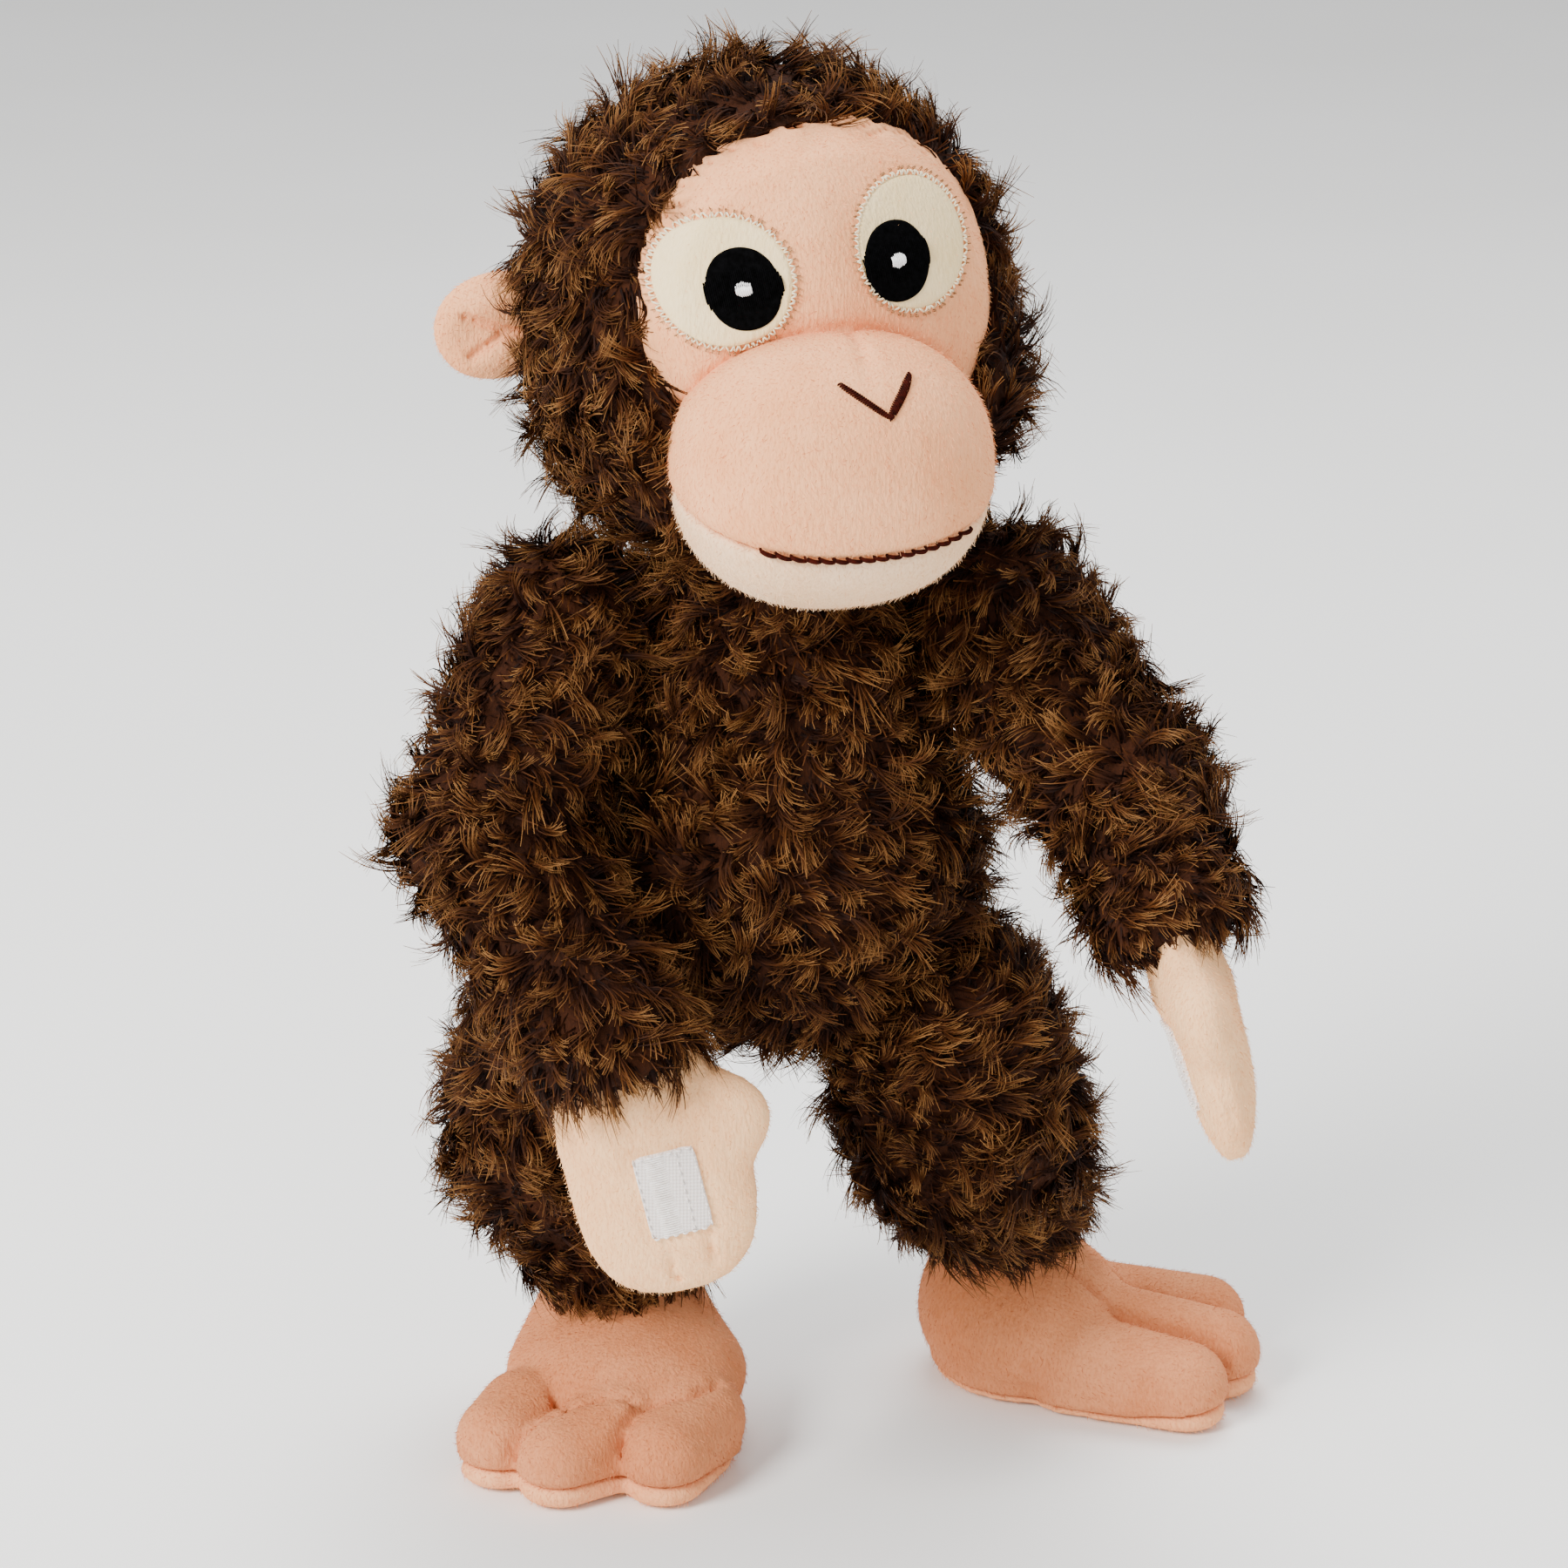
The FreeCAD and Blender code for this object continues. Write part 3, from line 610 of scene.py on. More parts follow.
def plump(piece, held, cap):
    """Lets stuffing press a skin out: a short cloth simulation, pinned where held, capped and applied."""
    rest = points_of(piece)
    seams = piece.vertex_groups.new(name="seams")
    seams.add(np.nonzero(held)[0].tolist(), 1.0, "REPLACE")
    cloth = piece.modifiers.new("stuffing", "CLOTH")
    cloth.settings.vertex_group_mass = "seams"
    cloth.settings.mass = 0.05
    cloth.settings.use_pressure = True
    cloth.settings.uniform_pressure_force = 4.0
    cloth.settings.tension_stiffness = cloth.settings.compression_stiffness = 5.0
    cloth.settings.effector_weights.gravity = 0
    cloth.collision_settings.use_collision = False
    for step in range(1, SIMULATION_FRAMES + 1):
        bpy.context.scene.frame_set(step)
    apply_modifiers(piece)
    moved = points_of(piece) - rest
    far = np.linalg.norm(moved, axis=1, keepdims=True)
    set_points(piece, rest + moved * np.minimum(1, cap / np.maximum(far, 1e-6)))
    bpy.context.scene.frame_set(1)
    return points_of(piece)


def pile(name, strands, place, paint, body):
    """A piece made of strands, as nap or curls gives them."""
    points, quads, uv = strands
    dress(new_mesh(name, points, quads, place, paint, uv), body)


def furry(name, body, field, place, low, high, replaced, keep=None, rim=None,
          down=(0.12, 0.1, -1.0), seed=1):
    """A stuffed backing and its coat: an undercoat, and curls over it that fall in line near a rim."""
    points, quads = net(field, low, high, NET_STEP)
    skin = new_mesh(name + "_backing", points, quads, place, BROWN_SKIN)
    held = np.zeros(len(points), bool) if rim is None else rim(points) < RIM_HELD
    points = place.back(plump(skin, held, BACKING_CAP))
    dress(subdivide(skin), body, replaced)
    rng = np.random.default_rng(seed)
    waves = Waves(seed + 50, 70)
    down = unit(place.rotation.T @ np.array(down))

    def lie(spots, normals):
        """Which way the pile lies, and how freely the curls wander from it."""
        calm = np.ones(len(spots)) if rim is None else np.clip(rim(spots) / CALM_DEPTH, 0.12, 1)
        return heading(spots, normals, waves, FUR_SWING * calm, down), calm

    spots, normals = scatter(points, quads, UNDERCOAT_SPACING, rng, keep)
    flow, _ = lie(spots, normals)
    strands = nap(spots, normals, flow, rng, UNDERCOAT_LENGTH, UNDERCOAT_WIDTH, 0.7)
    pile(name + "_undercoat", strands, place, FUR, body)
    spots, normals = scatter(points, quads, TUFT_SPACING, rng, keep)
    flow, calm = lie(spots, normals)
    strands = curls(spots, normals, flow, calm, rng, TUFT_FIBRES, TUFT_LENGTH, TUFT_WIDTH, TUFT_SPREAD)
    pile(name + "_coat", strands, place, FUR, body)


def muzzle_reach(p):
    """1 on the muzzle's own surface, for points in the head's frame."""
    local = MUZZLE.back(HEAD.out(p))
    return np.linalg.norm(local / MUZZLE_HALF, axis=1)


def on_hood(p):
    """Where the hood carries fur: not under the face, the muzzle or the ears, nor in the neck's opening."""
    bare = (p[:, 1] < 5) & ((face_reach(p) < 0.97) | (muzzle_reach(p) < 0.86))
    row = HEAD.out(p)
    under = np.linalg.norm((row - NECK)[:, :2], axis=1) < 16
    ears = np.linalg.norm(np.column_stack([np.abs(p[:, 0]), p[:, 1:]]) - [55, 16, 4], axis=1) < 12
    return ~bare & ~((row[:, 2] < NECK[2]) & under) & ~ears


furry("torso", "torso", torso_field, BODY, (-60, -50, 92), (60, 60, 236), ("torso_cover", "torso_fill"),
      seed=3)
furry("neck", "neck", neck_field, BODY, (-36, -32, 186), (34, 40, 272), ("neck_cover", "neck_fill"),
      keep=lambda p: (p[:, 2] > 212) & (p[:, 2] < 242), seed=5)
furry("head", "head", head_field, HEAD, -HEAD_HALF - 6, HEAD_HALF + 6, ("head_cover", "head_fill"),
      keep=on_hood, seed=7)


def dress_limbs(side, seed):
    shoulder, wrist = SHOULDER[side], WRIST[side]
    facing, past = sleeve_end(side)
    furry(side + "_arm", side + "_arm", arm_field(side), BODY, np.minimum(shoulder, wrist) - 42,
          np.maximum(shoulder, wrist) + 34, (side + "_arm_cover", side + "_arm_fill"), seed=seed,
          rim=lambda p: np.maximum((wrist - p) @ facing + past, 0), down=facing)
    hip, ankle = HIP[side], ANKLE[side]
    furry(side + "_leg", side + "_leg", leg_field(side), BODY, np.minimum(hip, ankle) - 40,
          np.maximum(hip, ankle) + 36, (side + "_leg_cover", side + "_leg_fill"), seed=seed + 5,
          rim=lambda p: np.maximum(p[:, 2] - LEG_END[side], 0))


dress_limbs("right", 11)
dress_limbs("left", 12)


# -------- short-pile parts

PILE_LENGTH = 1.3
PILE_SPACING, PILE_WIDTH = ((0.85, 0.16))
PILE_SWING = 25
PANEL_CAP = 1.0  # the furthest that stuffing presses a panel out


def soft_part(name, body, field, place, low, high, step, cloth, paint, replaced, keep=None, seed=1,
              down=(0, 0, -1), seams=None):
    """A stuffed short-pile part: its skin, pressed out between its seams if given, and its pile."""
    points, quads = net(field, low, high, step)
    skin = new_mesh(name, points, quads, place, cloth)
    if seams is not None:
        points = place.back(plump(skin, seams(points), PANEL_CAP))
    dress(subdivide(skin), body, replaced)
    rng = np.random.default_rng(seed)
    spots, normals = scatter(points, quads, PILE_SPACING, rng, keep)
    flow = heading(spots, normals, Waves(seed, 60), PILE_SWING, unit(np.array(down, float)))
    pile(name + "_pile", nap(spots, normals, flow, rng, PILE_LENGTH, PILE_WIDTH), place, paint, body)


# face: a shallow dome inside the hood, pinched in where the muzzle is sewn over it

def face_field(p):
    dome = egg(p, (0, 0, 0), HEAD_HALF - 1.0)
    reach = face_reach(p)
    tuck = 4.5 * np.clip(reach - 0.86, 0, 1) / 0.14
    sockets = sum(1.1 * np.exp(-(((p[:, 0] - s) / 17) ** 2 + ((p[:, 2] - 11) / 15) ** 2)) for s in (-19, 20))
    brow = -1.6 * np.exp(-((p[:, 0] - 1) / 10) ** 2 - ((p[:, 2] - 22) / 16) ** 2)
    fold = 1.8 * groove(muzzle_reach(p) - 1.0, 0.06)
    front = dome + tuck + sockets + brow + fold
    back = egg(p, (0, 0, 0), HEAD_HALF - 8.0)
    return np.maximum(np.maximum(front, -back), np.maximum(60 * (reach - 1.03), p[:, 1] + 5))


soft_part("face_panel_plush", "head", face_field, HEAD, (-42, -60, -42), (50, 0, 46), 1.8,
          PEACH, PEACH_PILE, ("face_panel",), seed=31,
          keep=lambda p: (face_reach(p) < 1.0) & (np.linalg.norm(p / (HEAD_HALF - 4.5), axis=1) > 1)
          & (muzzle_reach(p) > 0.97))


# muzzle: two panels that meet in the mouth seam

MOUTH = MUZZLE.within((0, 0, -7), turn(X, 17))
MUZZLE_POWER = 2.25  # a little squarer than an egg
MOUTH_GAP, LIP_ROUNDING = 0.15, 2.2


def muzzle_body(p):
    """The whole muzzle in its own frame: a squarish egg with a dart down from the brow."""
    far = (np.abs(p / MUZZLE_HALF) ** MUZZLE_POWER).sum(axis=1) ** (1 / MUZZLE_POWER)
    base = (far - 1) * 30  # about the distance in millimetres
    dart = 1.2 * groove(p[:, 0] - 3 - 0.18 * (p[:, 2] - 24), 1.3) * np.clip((p[:, 2] - 21) / 5, 0, 1)
    return base + dart


def mouth_height(p):
    """Height over the mouth seam, which curves up a little at its ends."""
    return MOUTH.back(MUZZLE.out(p))[:, 2] - 0.0022 * p[:, 0] ** 2


def upper_field(p):
    return carve(muzzle_body(p), MOUTH_GAP - mouth_height(p), LIP_ROUNDING)


def chin_field(p):
    return carve(muzzle_body(p) + 0.3, mouth_height(p) + MOUTH_GAP, LIP_ROUNDING)


def in_front(p):
    head = HEAD.back(MUZZLE.out(p))
    return np.linalg.norm(head / (HEAD_HALF - 3), axis=1) > 1


BOX = MUZZLE_HALF + 4
soft_part("muzzle_plush", "head", upper_field, MUZZLE, -BOX, BOX, 1.8, PEACH, PEACH_PILE,
          ("muzzle_cover", "muzzle_fill"), in_front, 33)
soft_part("chin_plush", "head", chin_field, MUZZLE, -BOX, BOX, 1.8, CHIN, CHIN_PILE,
          ("chin_panel",), in_front, 35)


# -------- sewing

def tubes(lines, radii, sides=6):
    """Round threads along lines of points (thread, ring, xyz), tapered shut by their radii."""
    count, rings = lines.shape[:2]
    run = unit(np.gradient(lines, axis=1))
    guide = np.where(np.abs(run[..., 2:3]) > 0.8, np.array([1.0, 0, 0]), np.array([0, 0, 1.0]))
    first = unit(np.cross(run, guide))
    second = np.cross(run, first)
    angle = np.arange(sides) * 2 * math.pi / sides
    ring = np.cos(angle)[:, None] * first[:, :, None] + np.sin(angle)[:, None] * second[:, :, None]
    points = lines[:, :, None] + ring * np.broadcast_to(radii, (count, rings))[:, :, None, None]
    start = (np.arange(count)[:, None, None] * rings + np.arange(rings - 1)[:, None]) * sides
    here = start + np.arange(sides)
    after = start + (np.arange(sides) + 1) % sides
    quads = np.stack([here, after, after + sides, here + sides], -1).reshape(-1, 4)
    return points.reshape(-1, 3), quads


def drape(field, points, along):
    """Slides points along one direction until they lie on a field's surface."""
    for _ in range(8):
        rate = (field(points + 0.05 * along) - field(points - 0.05 * along)) / 0.1
        move = np.clip(field(points) / np.where(np.abs(rate) < 0.2, 0.2, rate), -4, 4)
        points = points - move[:, None] * along
    return points


def raised(field, points, lift):
    return points + unit(slope_of(field, points)) * np.asarray(lift)[..., None]


def stitched(name, place, field, along, starts, ends, lift, radius, material, body, slot,
             replaced=(), rings=6):
    """Threads from starts to ends over a surface, each a low arch whose ends go into the cloth."""
    s = np.linspace(0, 1, rings)
    lines = starts[:, None] + (ends - starts)[:, None] * s[:, None]
    flat = drape(field, lines.reshape(-1, 3), along)
    arch = np.tile(lift * (np.sin(math.pi * s) ** 0.5 * 1.4 - 0.6), len(starts))
    lines = raised(field, flat, arch).reshape(lines.shape)
    mesh = tubes(lines, radius * (0.55 + 0.45 * np.sin(math.pi * s) ** 0.5))
    return dress(new_mesh(name, mesh[0], mesh[1], place, material), body, replaced)


def sheet_on(name, place, field, along, outline, lift, material, body, slot, replaced=(), count=36):
    """A thin flat piece of cloth sewn on a surface; outline turns a unit disc's points into the piece's."""
    u, v = np.meshgrid(np.linspace(-1, 1, count), np.linspace(-1, 1, count), indexing="ij")
    disc = np.column_stack([(u * np.sqrt(1 - v * v / 2)).ravel(), (v * np.sqrt(1 - u * u / 2)).ravel()])
    reach = np.linalg.norm(disc, axis=1)
    points = drape(field, outline(disc), along)
    points = raised(field, points, lift * (1 - reach ** 50) - 0.5 * reach ** 90)
    cell = np.arange(count * count).reshape(count, count)
    quads = np.stack([cell[:-1, :-1], cell[1:, :-1], cell[1:, 1:], cell[:-1, 1:]], -1).reshape(-1, 4)
    return dress(new_mesh(name, points, quads, place, material), body, replaced)


ON_FACE = (HEAD, face_field, Y)  # the place, the surface, and the way threads slide on to it
IN_FRONT_OF_FACE = -52.0  # where the threads and cloth of the eyes start to slide
SATIN_GAP = 0.42
ZIGZAG_POINTS, ZIGZAG_INNER, ZIGZAG_OUTER = 121, 0.955, 1.05
GLINT_HALF = (1.9, 2.7)


def oval(middle, half):
    """The outline of an ellipse in front of the face, for sheet_on."""
    def outline(disc):
        return np.column_stack([middle[0] + disc[:, 0] * half[0], np.full(len(disc), IN_FRONT_OF_FACE),
                                middle[1] + disc[:, 1] * half[1]])
    return outline


def satin_rows(middle, half, rng, ragged=0.35):
    """Starts and ends of upright satin stitches that fill an ellipse in front of the face."""
    side = np.arange(SATIN_GAP - half[0], half[0] - SATIN_GAP / 2, SATIN_GAP)
    tall = half[1] * np.sqrt(np.clip(1 - (side / half[0]) ** 2, 0, 1))
    top = tall + rng.uniform(-ragged, ragged, len(side)) + 0.2
    low = tall + rng.uniform(-ragged, ragged, len(side)) + 0.2
    front = np.full(len(side), IN_FRONT_OF_FACE)
    starts = np.column_stack([middle[0] + side, front, middle[1] - low])
    return starts, np.column_stack([middle[0] + side, front, middle[1] + top])


def make_eye(side, patch, patch_half, pupil, pupil_half, seed):
    """Cloth patch with a zigzag edge, and a satin-stitched pupil with a white glint."""
    rng = np.random.default_rng(seed)
    rim = oval(patch, patch_half)
    sheet_on(side + "_eye_cloth", *ON_FACE, rim, 0.6, EYE_CLOTH, "head", "eye_cloth",
             (side + "_eye_patch",))
    angle = np.linspace(0, 2 * math.pi, ZIGZAG_POINTS) + 0.02 * rng.normal(size=ZIGZAG_POINTS)
    reach = np.where(np.arange(ZIGZAG_POINTS) % 2 == 0, ZIGZAG_INNER, ZIGZAG_OUTER)
    turns = rim(np.column_stack([np.cos(angle), np.sin(angle)]) * reach[:, None])
    stitched(side + "_eye_zigzag", *ON_FACE, turns[:-1], turns[1:], 0.9, 0.23, CREAM_THREAD,
             "head", "eye_cloth", rings=5)
    middle = np.array([patch[0], IN_FRONT_OF_FACE, patch[1]])
    # Painted shade: short dark threads at the zigzag's outer needle holes stand for the shade in the dents
    # there.
    holes = turns[1::2]
    stitched(side + "_eye_needle_hole_shades", *ON_FACE, holes, middle + (holes - middle) * 1.045, 1.2, 0.15,
             NEEDLE_HOLE_SHADE, "head", "eye_cloth", rings=4)
    sheet_on(side + "_pupil_base", *ON_FACE, oval(pupil, np.array(pupil_half) * 0.97), 1.0, BLACK_THREAD,
             "head", "black_thread", (side + "_pupil",))
    starts, ends = satin_rows(pupil, pupil_half, rng)
    stitched(side + "_pupil_satin", *ON_FACE, starts, ends, 1.35, 0.27, BLACK_THREAD,
             "head", "black_thread", rings=12)
    starts, ends = satin_rows(pupil, GLINT_HALF, rng, 0.25)
    stitched(side + "_glint_satin", *ON_FACE, starts, ends, 1.95, 0.26, WHITE_THREAD,
             "head", "white_thread", (side + "_highlight",), rings=8)


make_eye("right", (-19.9, 13.2), (14.2, 14.2), (-16.6, 11.2), (8.3, 9.6), 41)
make_eye("left", (23.2, 12.6), (14.0, 14.6), (18.2, 9.8), (8.5, 9.4), 43)


def satin_bar(name, place, field, along, start, end, width, gap, lift, radius, material, body, slot,
              replaced=()):
    """Short threads side by side across a line, narrower at its ends."""
    start, end = np.array(start, float), np.array(end, float)
    count = int(np.linalg.norm(end - start) / gap)
    t = np.linspace(0, 1, count)[:, None]
    across = unit(np.cross(end - start, along)) * width / 2 * (1 - 0.45 * (2 * t - 1) ** 4)
    lean = unit(end - start) * gap * 1.2
    middle = start + (end - start) * t
    return stitched(name, place, field, along, middle - across - lean, middle + across + lean, lift, radius,
                    material, body, slot, replaced)


def on_muzzle(side, back, up):
    """A point of the body's axis frame, seen in the muzzle's own frame."""
    return MUZZLE.back(np.array([side, back, up], float))


NOSE_TIP = on_muzzle(24.3, -75, 279)
satin_bar("nose_satin_right", MUZZLE, upper_field, Y, on_muzzle(13.6, -72, 285.6), NOSE_TIP, 1.5,
          0.5, 0.7, 0.26, DARK_THREAD, "head", "dark_thread", ("nose_stitch",))
satin_bar("nose_satin_left", MUZZLE, upper_field, Y, NOSE_TIP, on_muzzle(29.2, -68, 286.2), 2.3,
          0.5, 0.7, 0.26, DARK_THREAD, "head", "dark_thread")


def mouth_thread():
    """Back stitches of thick thread along the mouth seam."""
    side = np.linspace(-23, 25, 17)
    points = np.column_stack([side, np.full(17, -31.0), np.full(17, -7.0)])
    for _ in range(6):
        points[:, 2] -= mouth_height(points)
        points = drape(muzzle_body, points, Y)
    overlap = (points[1:] - points[:-1]) * 0.12
    low = np.array([0, 0, 0.8])
    return stitched("mouth_back_stitch", MUZZLE, muzzle_body, Y, points[:-1] - overlap + low,
                    points[1:] + overlap + low * 0.2, 0.75, 0.55, DARK_THREAD, "head", "dark_thread",
                    ("mouth_stitch",), rings=9)


mouth_thread()


# -------- ears

EAR = {"right": HEAD.within((-52, 20, 2), turn(Z, 180)), "left": HEAD.within((52, 20, 2), turn(Z, 52))}
EAR_CREASES = (((7.6, 4.2), (-1.4, -1.0)), ((8.0, -5.2), (-1.4, -1.0)), ((-1.4, -1.0), (-5.0, -2.2)))


def line_distance(u, v, start, end):
    """Distance in a plane from points to a straight line between two of its points."""
    q, a, b = np.column_stack([u, v]), np.array(start, float), np.array(end, float)
    t = np.clip((q - a) @ (b - a) / ((b - a) @ (b - a)), 0, 1)
    return np.linalg.norm(q - a - t[:, None] * (b - a), axis=1)


def ear_field(side):
    """A thick folded lobe: two rolls that meet in a forked crease, with a shallow cup between them."""
    front = 1 if side == "right" else -1

    def field(p):
        out, ahead, up = p[:, 0] - 6.5, front * p[:, 1], p[:, 2]
        lobe = egg(np.column_stack([out, ahead, up]), (0, 0, 0), np.array([15.0, 5.2, 12.3]))
        seen = np.clip(ahead + 1, 0, 1)
        rolls = 1.7 * np.exp(-((up - 6.0) / 4) ** 2 - (out / 9) ** 2)
        rolls = rolls + 1.4 * np.exp(-((up + 7.0) / 3.5) ** 2 - (out / 9) ** 2)
        crease = sum(groove(line_distance(out, up, *line), 0.9) for line in EAR_CREASES)
        cup = 1.3 * np.exp(-((out - 7) / 4.5) ** 2 - ((up + 0.4) / 3.6) ** 2)
        return lobe + seen * (cup + 2.0 * np.minimum(crease, 1) - rolls)
    return field


for number, side in enumerate(SIDES):
    soft_part(side + "_ear_plush", "head", ear_field(side), EAR[side], (-14, -12, -18),
              (28, 12, 18), 1.0, PEACH, PEACH_PILE, (side + "_ear",), seed=51 + number,
              down=(1, 0, -0.3),
              keep=lambda p: np.linalg.norm(HEAD.back(EAR[side].out(p)) / (HEAD_HALF - 4), axis=1) > 1)


# -------- hands

PATCH = Place((6.0, 0, -31.5), turn(Y, -1))
PALM_SIDE = -9.0  # where the patch and its threads start to slide on to the palm
PATCH_HALF = (7.4, 10.2)
SEAM_HALF = (6.8, 9.7)  # the line of stitches just inside the patch's edge
HAND_LOW, HAND_HIGH = (-26, -13, -62), (36, 13, 20)


def hand_field(p):
    """A mitten of two flat panels: rounded fingers, a thumb bump and a wide stem into the sleeve."""
    side, back, up = p.T
    bow = 1.8 * np.clip(-up - 20, 0, None) ** 2 / 900
    q = np.column_stack([side, back + bow, up])
    far = (np.abs((side - 3.2) / 21.6) ** 2.7 + np.abs((up + 27.5) / 29) ** 2.7) ** (1 / 2.7)
    mitten = (np.sqrt(far ** 2 + (q[:, 1] / 8.3) ** 2) - 1) * 9
    thumb = egg(q, (19.5, 0, -19), np.array([11.5, 6.0, 9.5]))
    stem = bone(q * [0.58, 1, 1], np.array([0, 0, 0]), np.array([0.8, 0, -16]), 7.0, 8.6)
    body = blend(blend(mitten, thumb, 5), stem, 5)
    seam = 0.25 * groove(q[:, 1], 0.8)
    return body + seam


FINGER_LINES = (((1.6, -43.5), (2.3, -52.0)), ((11.6, -43.0), (11.2, -50.0)))


def stitched_hand_field(p):
    """The hand with its finger lines pulled in and its palm pressed flat under the patch."""
    dent = sum(groove(line_distance(p[:, 0], p[:, 2], *line), 0.8) for line in FINGER_LINES)
    local = PATCH.back(p)
    press = np.clip(1 - np.maximum(np.abs(local[:, 0]) - 8, np.abs(local[:, 2]) - 10.5) / 2, 0, 1)
    return hand_field(p) + 1.3 * dent + 0.6 * press * (p[:, 1] < 0)


def hand_seams(p):
    """Where the palm and back are held together or flat: round the edge, at the fingers, by the tape."""
    local = PATCH.back(p)
    taped = (np.abs(local[:, 0]) < 9) & (np.abs(local[:, 2]) < 12) & (p[:, 1] < 0)
    fingers = np.min([line_distance(p[:, 0], p[:, 2], *line) for line in FINGER_LINES], axis=0) < 1.5
    return taped | fingers | (np.abs(p[:, 1]) < 1.2) | (p[:, 2] > 4)


def make_hand(side, seed):
    place, body = HAND[side], side + "_hand"
    nodes = tuple(f"{body}_{part}" for part in ("palm", "back", "fill"))

    def beside_patch(p):
        local = np.abs(PATCH.back(p))
        return (local[:, 0] > SEAM_HALF[0]) | (local[:, 2] > PATCH_HALF[1]) | (p[:, 1] > 0)

    soft_part(body + "_plush", body, stitched_hand_field, place, HAND_LOW, HAND_HIGH, 1.6,
              HAND_CLOTH, HAND_PILE, nodes, seed=seed, seams=hand_seams, keep=beside_patch)

    def tape(disc):
        """The disc stretched into a rectangle with slightly rounded corners."""
        size = np.abs(disc) ** 8
        grow = (np.linalg.norm(disc, axis=1) / np.maximum(size.sum(1) ** (1 / 8), 1e-6))[:, None]
        return PATCH.out(np.insert(disc * grow * PATCH_HALF, 1, PALM_SIDE, axis=1))
    sheet_on(body + "_tape", place, stitched_hand_field, Y, tape, 0.8, TAPE, body, "hook_tape",
             (side + "_palm_patch",))

    def threads(name, starts, ends, lift, radius, rings):
        lines = [PATCH.out(np.insert(flat, 1, PALM_SIDE, axis=1)) for flat in (starts, ends)]
        stitched(f"{body}_{name}", place, stitched_hand_field, Y, *lines, lift, radius, TAPE_THREAD, body,
                 "hook_tape", rings=rings)

    rows = np.linspace(-9.4, 9.4, 36)
    threads("tape_rows", np.column_stack([np.full(len(rows), -6.6), rows]),
            np.column_stack([np.full(len(rows), 2.4), rows + 0.15]), 1.2, 0.22, 10)
    wide, tall = SEAM_HALF
    corners = [(-wide, -tall), (wide, -tall), (wide, tall), (-wide, tall), (-wide, -tall)]
    seams = list(zip(corners[:-1], corners[1:])) + [((2.9, -tall), (2.9, tall))]
    starts, ends = [], []
    for a, b in np.array(seams):
        steps = np.arange(0, np.linalg.norm(b - a) - 1, 2.2)[:, None]
        starts.append(a + unit(b - a) * steps)
        ends.append(a + unit(b - a) * (steps + 1.6))
    threads("tape_seam", np.concatenate(starts), np.concatenate(ends), 1.5, 0.24, 7)


for number, side in enumerate(SIDES):
    make_hand(side, 61 + number)


# -------- feet

CREASES = {"right": (((-10, -41), (-4, -49)), ((-4, -49), (-17.5, -57)), ((13, -45), (7.4, -57)),
                     ((7.4, -57), (2.7, -63)), ((-4, -49), (5, -45.5)), ((5, -45.5), (13, -45)),
                     ((13, -45), (24, -41)), ((24, -41), (30, -33))),
           "left": (((-8, -16), (-10, -58)), ((7.5, -16), (10, -57)))}
TOES = {"right": (((-18, -38, 11.5), (-22, -47, 10.5)), ((6, -43, 12), (-6, -54, 10)),
                  ((24, -33, 12), (19, -50, 10.5))),
        "left": (((-16, -20, 12), (-20, -49, 10)), ((-0.5, -22, 14), (-0.5, -55, 10.5)),
                 ((15, -20, 12), (19, -49, 10)))}
TOE_CREASE_DEPTH = 2.4
SOLE_DEPTH = 7  # below this the sides are straight, so the sole is one panel
INSTEP = {"right": ((4, -17, 16), (30, 28, 17)), "left": ((0, -8, 16), (27, 25, 18))}


def toe_fields(side, p):
    return [bone(p, np.array(start, float), np.array(end, float), 12.4, 11.0) for start, end in TOES[side]]


def foot_field(side):
    """Heel, instep and three plump toes, pinched apart by creases, flat on the floor."""
    middle, half = INSTEP[side]

    def field(p):
        height = p[:, 2]
        p = np.column_stack([p[:, :2], np.maximum(height, SOLE_DEPTH)])
        heel = egg(p, (0, 1, 19), np.array([22.0, 21, 21]))
        neck = bone(p, np.array([0.0, -2, 20]), np.array([0.0, 0, 42]), 19.0, 15.0)
        upper = blend(blend(heel, neck, 8), egg(p, middle, np.array(half, float)), 8)
        toes = toe_fields(side, p)
        body = blend(upper, blend(blend(toes[0], toes[1], 1.0), toes[2], 1.0), 2.0)
        creases = [groove(line_distance(p[:, 0], p[:, 1], *line), 1.1) for line in CREASES[side]]
        crease = TOE_CREASE_DEPTH * np.max(creases, axis=0) * np.clip((p[:, 2] - 8) / 4, 0, 1)
        seam = 0.7 * groove(height - seam_height(p), 0.8)
        return carve(body + crease + seam, 0.4 - height, 4)
    return field


def seam_height(p):
    """The sole is sewn on low at the heel, and higher round the toes."""
    return 3.0 + 3.5 * np.clip((-p[:, 1] - 34) / 22, 0, 1)


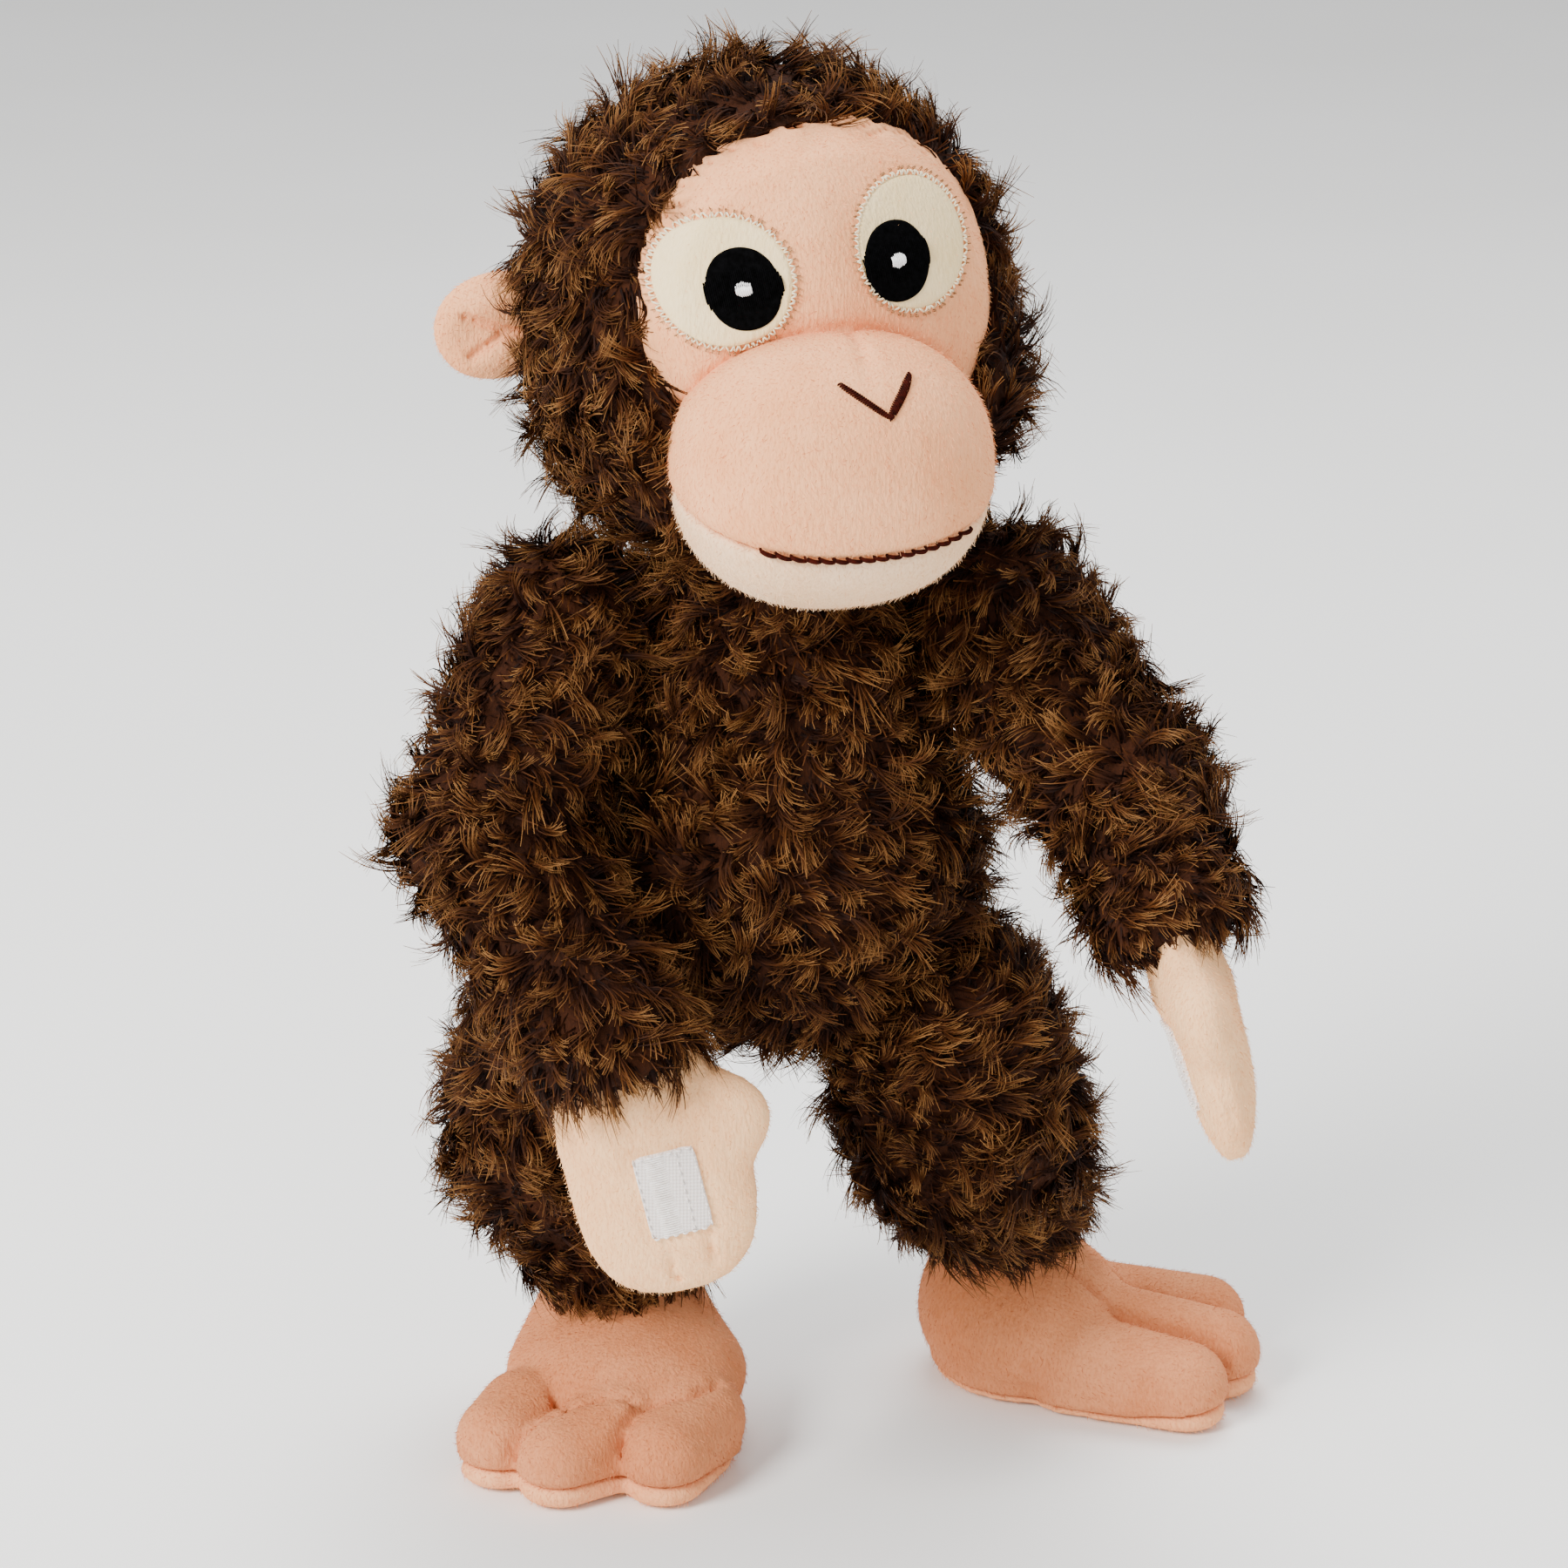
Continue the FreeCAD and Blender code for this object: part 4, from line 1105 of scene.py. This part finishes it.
def make_foot(side, seed):
    field, body = foot_field(side), side + "_foot"
    low, high = (-40, -72, -4), (42, 28, 52)

    def above(p):
        return carve(field(p), seam_height(p) + 0.1 - p[:, 2], 1.0)

    def below(p):
        return carve(field(p) + 0.2, p[:, 2] - seam_height(p) + 0.1, 0.8)

    def pinched(p):
        near = np.sort(toe_fields(side, p), axis=0)
        between_toes = (near[1] - near[0] < 1.6) & (p[:, 1] < -30)
        return between_toes | (p[:, 2] < seam_height(p) + 1.5) | (p[:, 2] > 40)

    soft_part(body + "_plush", body, above, FOOT[side], low, high, 1.6, FOOT_CLOTH, FOOT_PILE,
              (body + "_upper", body + "_fill"), seed=seed, keep=lambda p: p[:, 2] > seam_height(p) + 0.4,
              down=(0, -0.8, -0.6), seams=pinched)
    soft_part(body + "_sole_plush", body, below, FOOT[side], low, (42, 28, 14), 1.9,
              PEACH, PEACH_PILE, (body + "_sole",), seed=seed + 4, keep=lambda p: p[:, 2] > 1.2,
              down=(0, -0.8, -0.3))


make_foot("right", 71)
make_foot("left", 72)


# -------- floor, lights, camera

def floor():
    m = Nodes("studio_floor", roughness=0.9, specular=0.1)
    m.paint(m.ramp(m.noise(3, 2), [(0.3, "#f7f7f5"), (0.7, "#fbfbfa")]))
    size = 6000.0
    corners = np.array([(-size, -size, 0), (size, -size, 0), (size, size, 0), (-size, size, 0)])
    new_mesh("floor", corners, [(0, 1, 2, 3)], BODY, m.material, smooth=False)


def aimed(name, data, position, target):
    """A lamp or camera at one point, looking at another."""
    holder = bpy.data.objects.new(name, data)
    holder.location = position
    holder.rotation_mode = "QUATERNION"
    holder.rotation_quaternion = (Vector(target) - Vector(position)).to_track_quat("-Z", "Y")
    bpy.context.scene.collection.objects.link(holder)
    return holder


def area_light(name, position, target, size, power, tint):
    lamp = bpy.data.lights.new(name, "AREA")
    lamp.shape = "DISK"
    lamp.size, lamp.energy, lamp.color = size, power, tint
    aimed(name, lamp, position, target)


def camera():
    data = bpy.data.cameras.new("camera")
    data.lens, data.sensor_width = 96.6, 36
    data.clip_start, data.clip_end = 0.05, 50
    eye, target = (-0.015, -0.9355, 0.4976), (-0.015, 0.010, 0.172)
    bpy.context.scene.camera = aimed("camera", data, eye, target)


floor()
area_light("key", (-1.15, -1.0, 1.15), (0, 0, 0.17), 0.8, 56, (1.0, 0.98, 0.95))
area_light("fill", (1.2, -0.9, 0.7), (0, 0, 0.17), 1.2, 4, (0.96, 0.98, 1.0))
area_light("top", (0.1, 0.5, 1.6), (0, 0, 0.2), 1.0, 26, (1.0, 1.0, 1.0))
world = bpy.data.worlds.new("studio")
world.use_nodes = True
world.node_tree.nodes["Background"].inputs["Color"].default_value = colour("#e9e9ea")
world.node_tree.nodes["Background"].inputs["Strength"].default_value = 1.0
bpy.context.scene.world = world
camera()
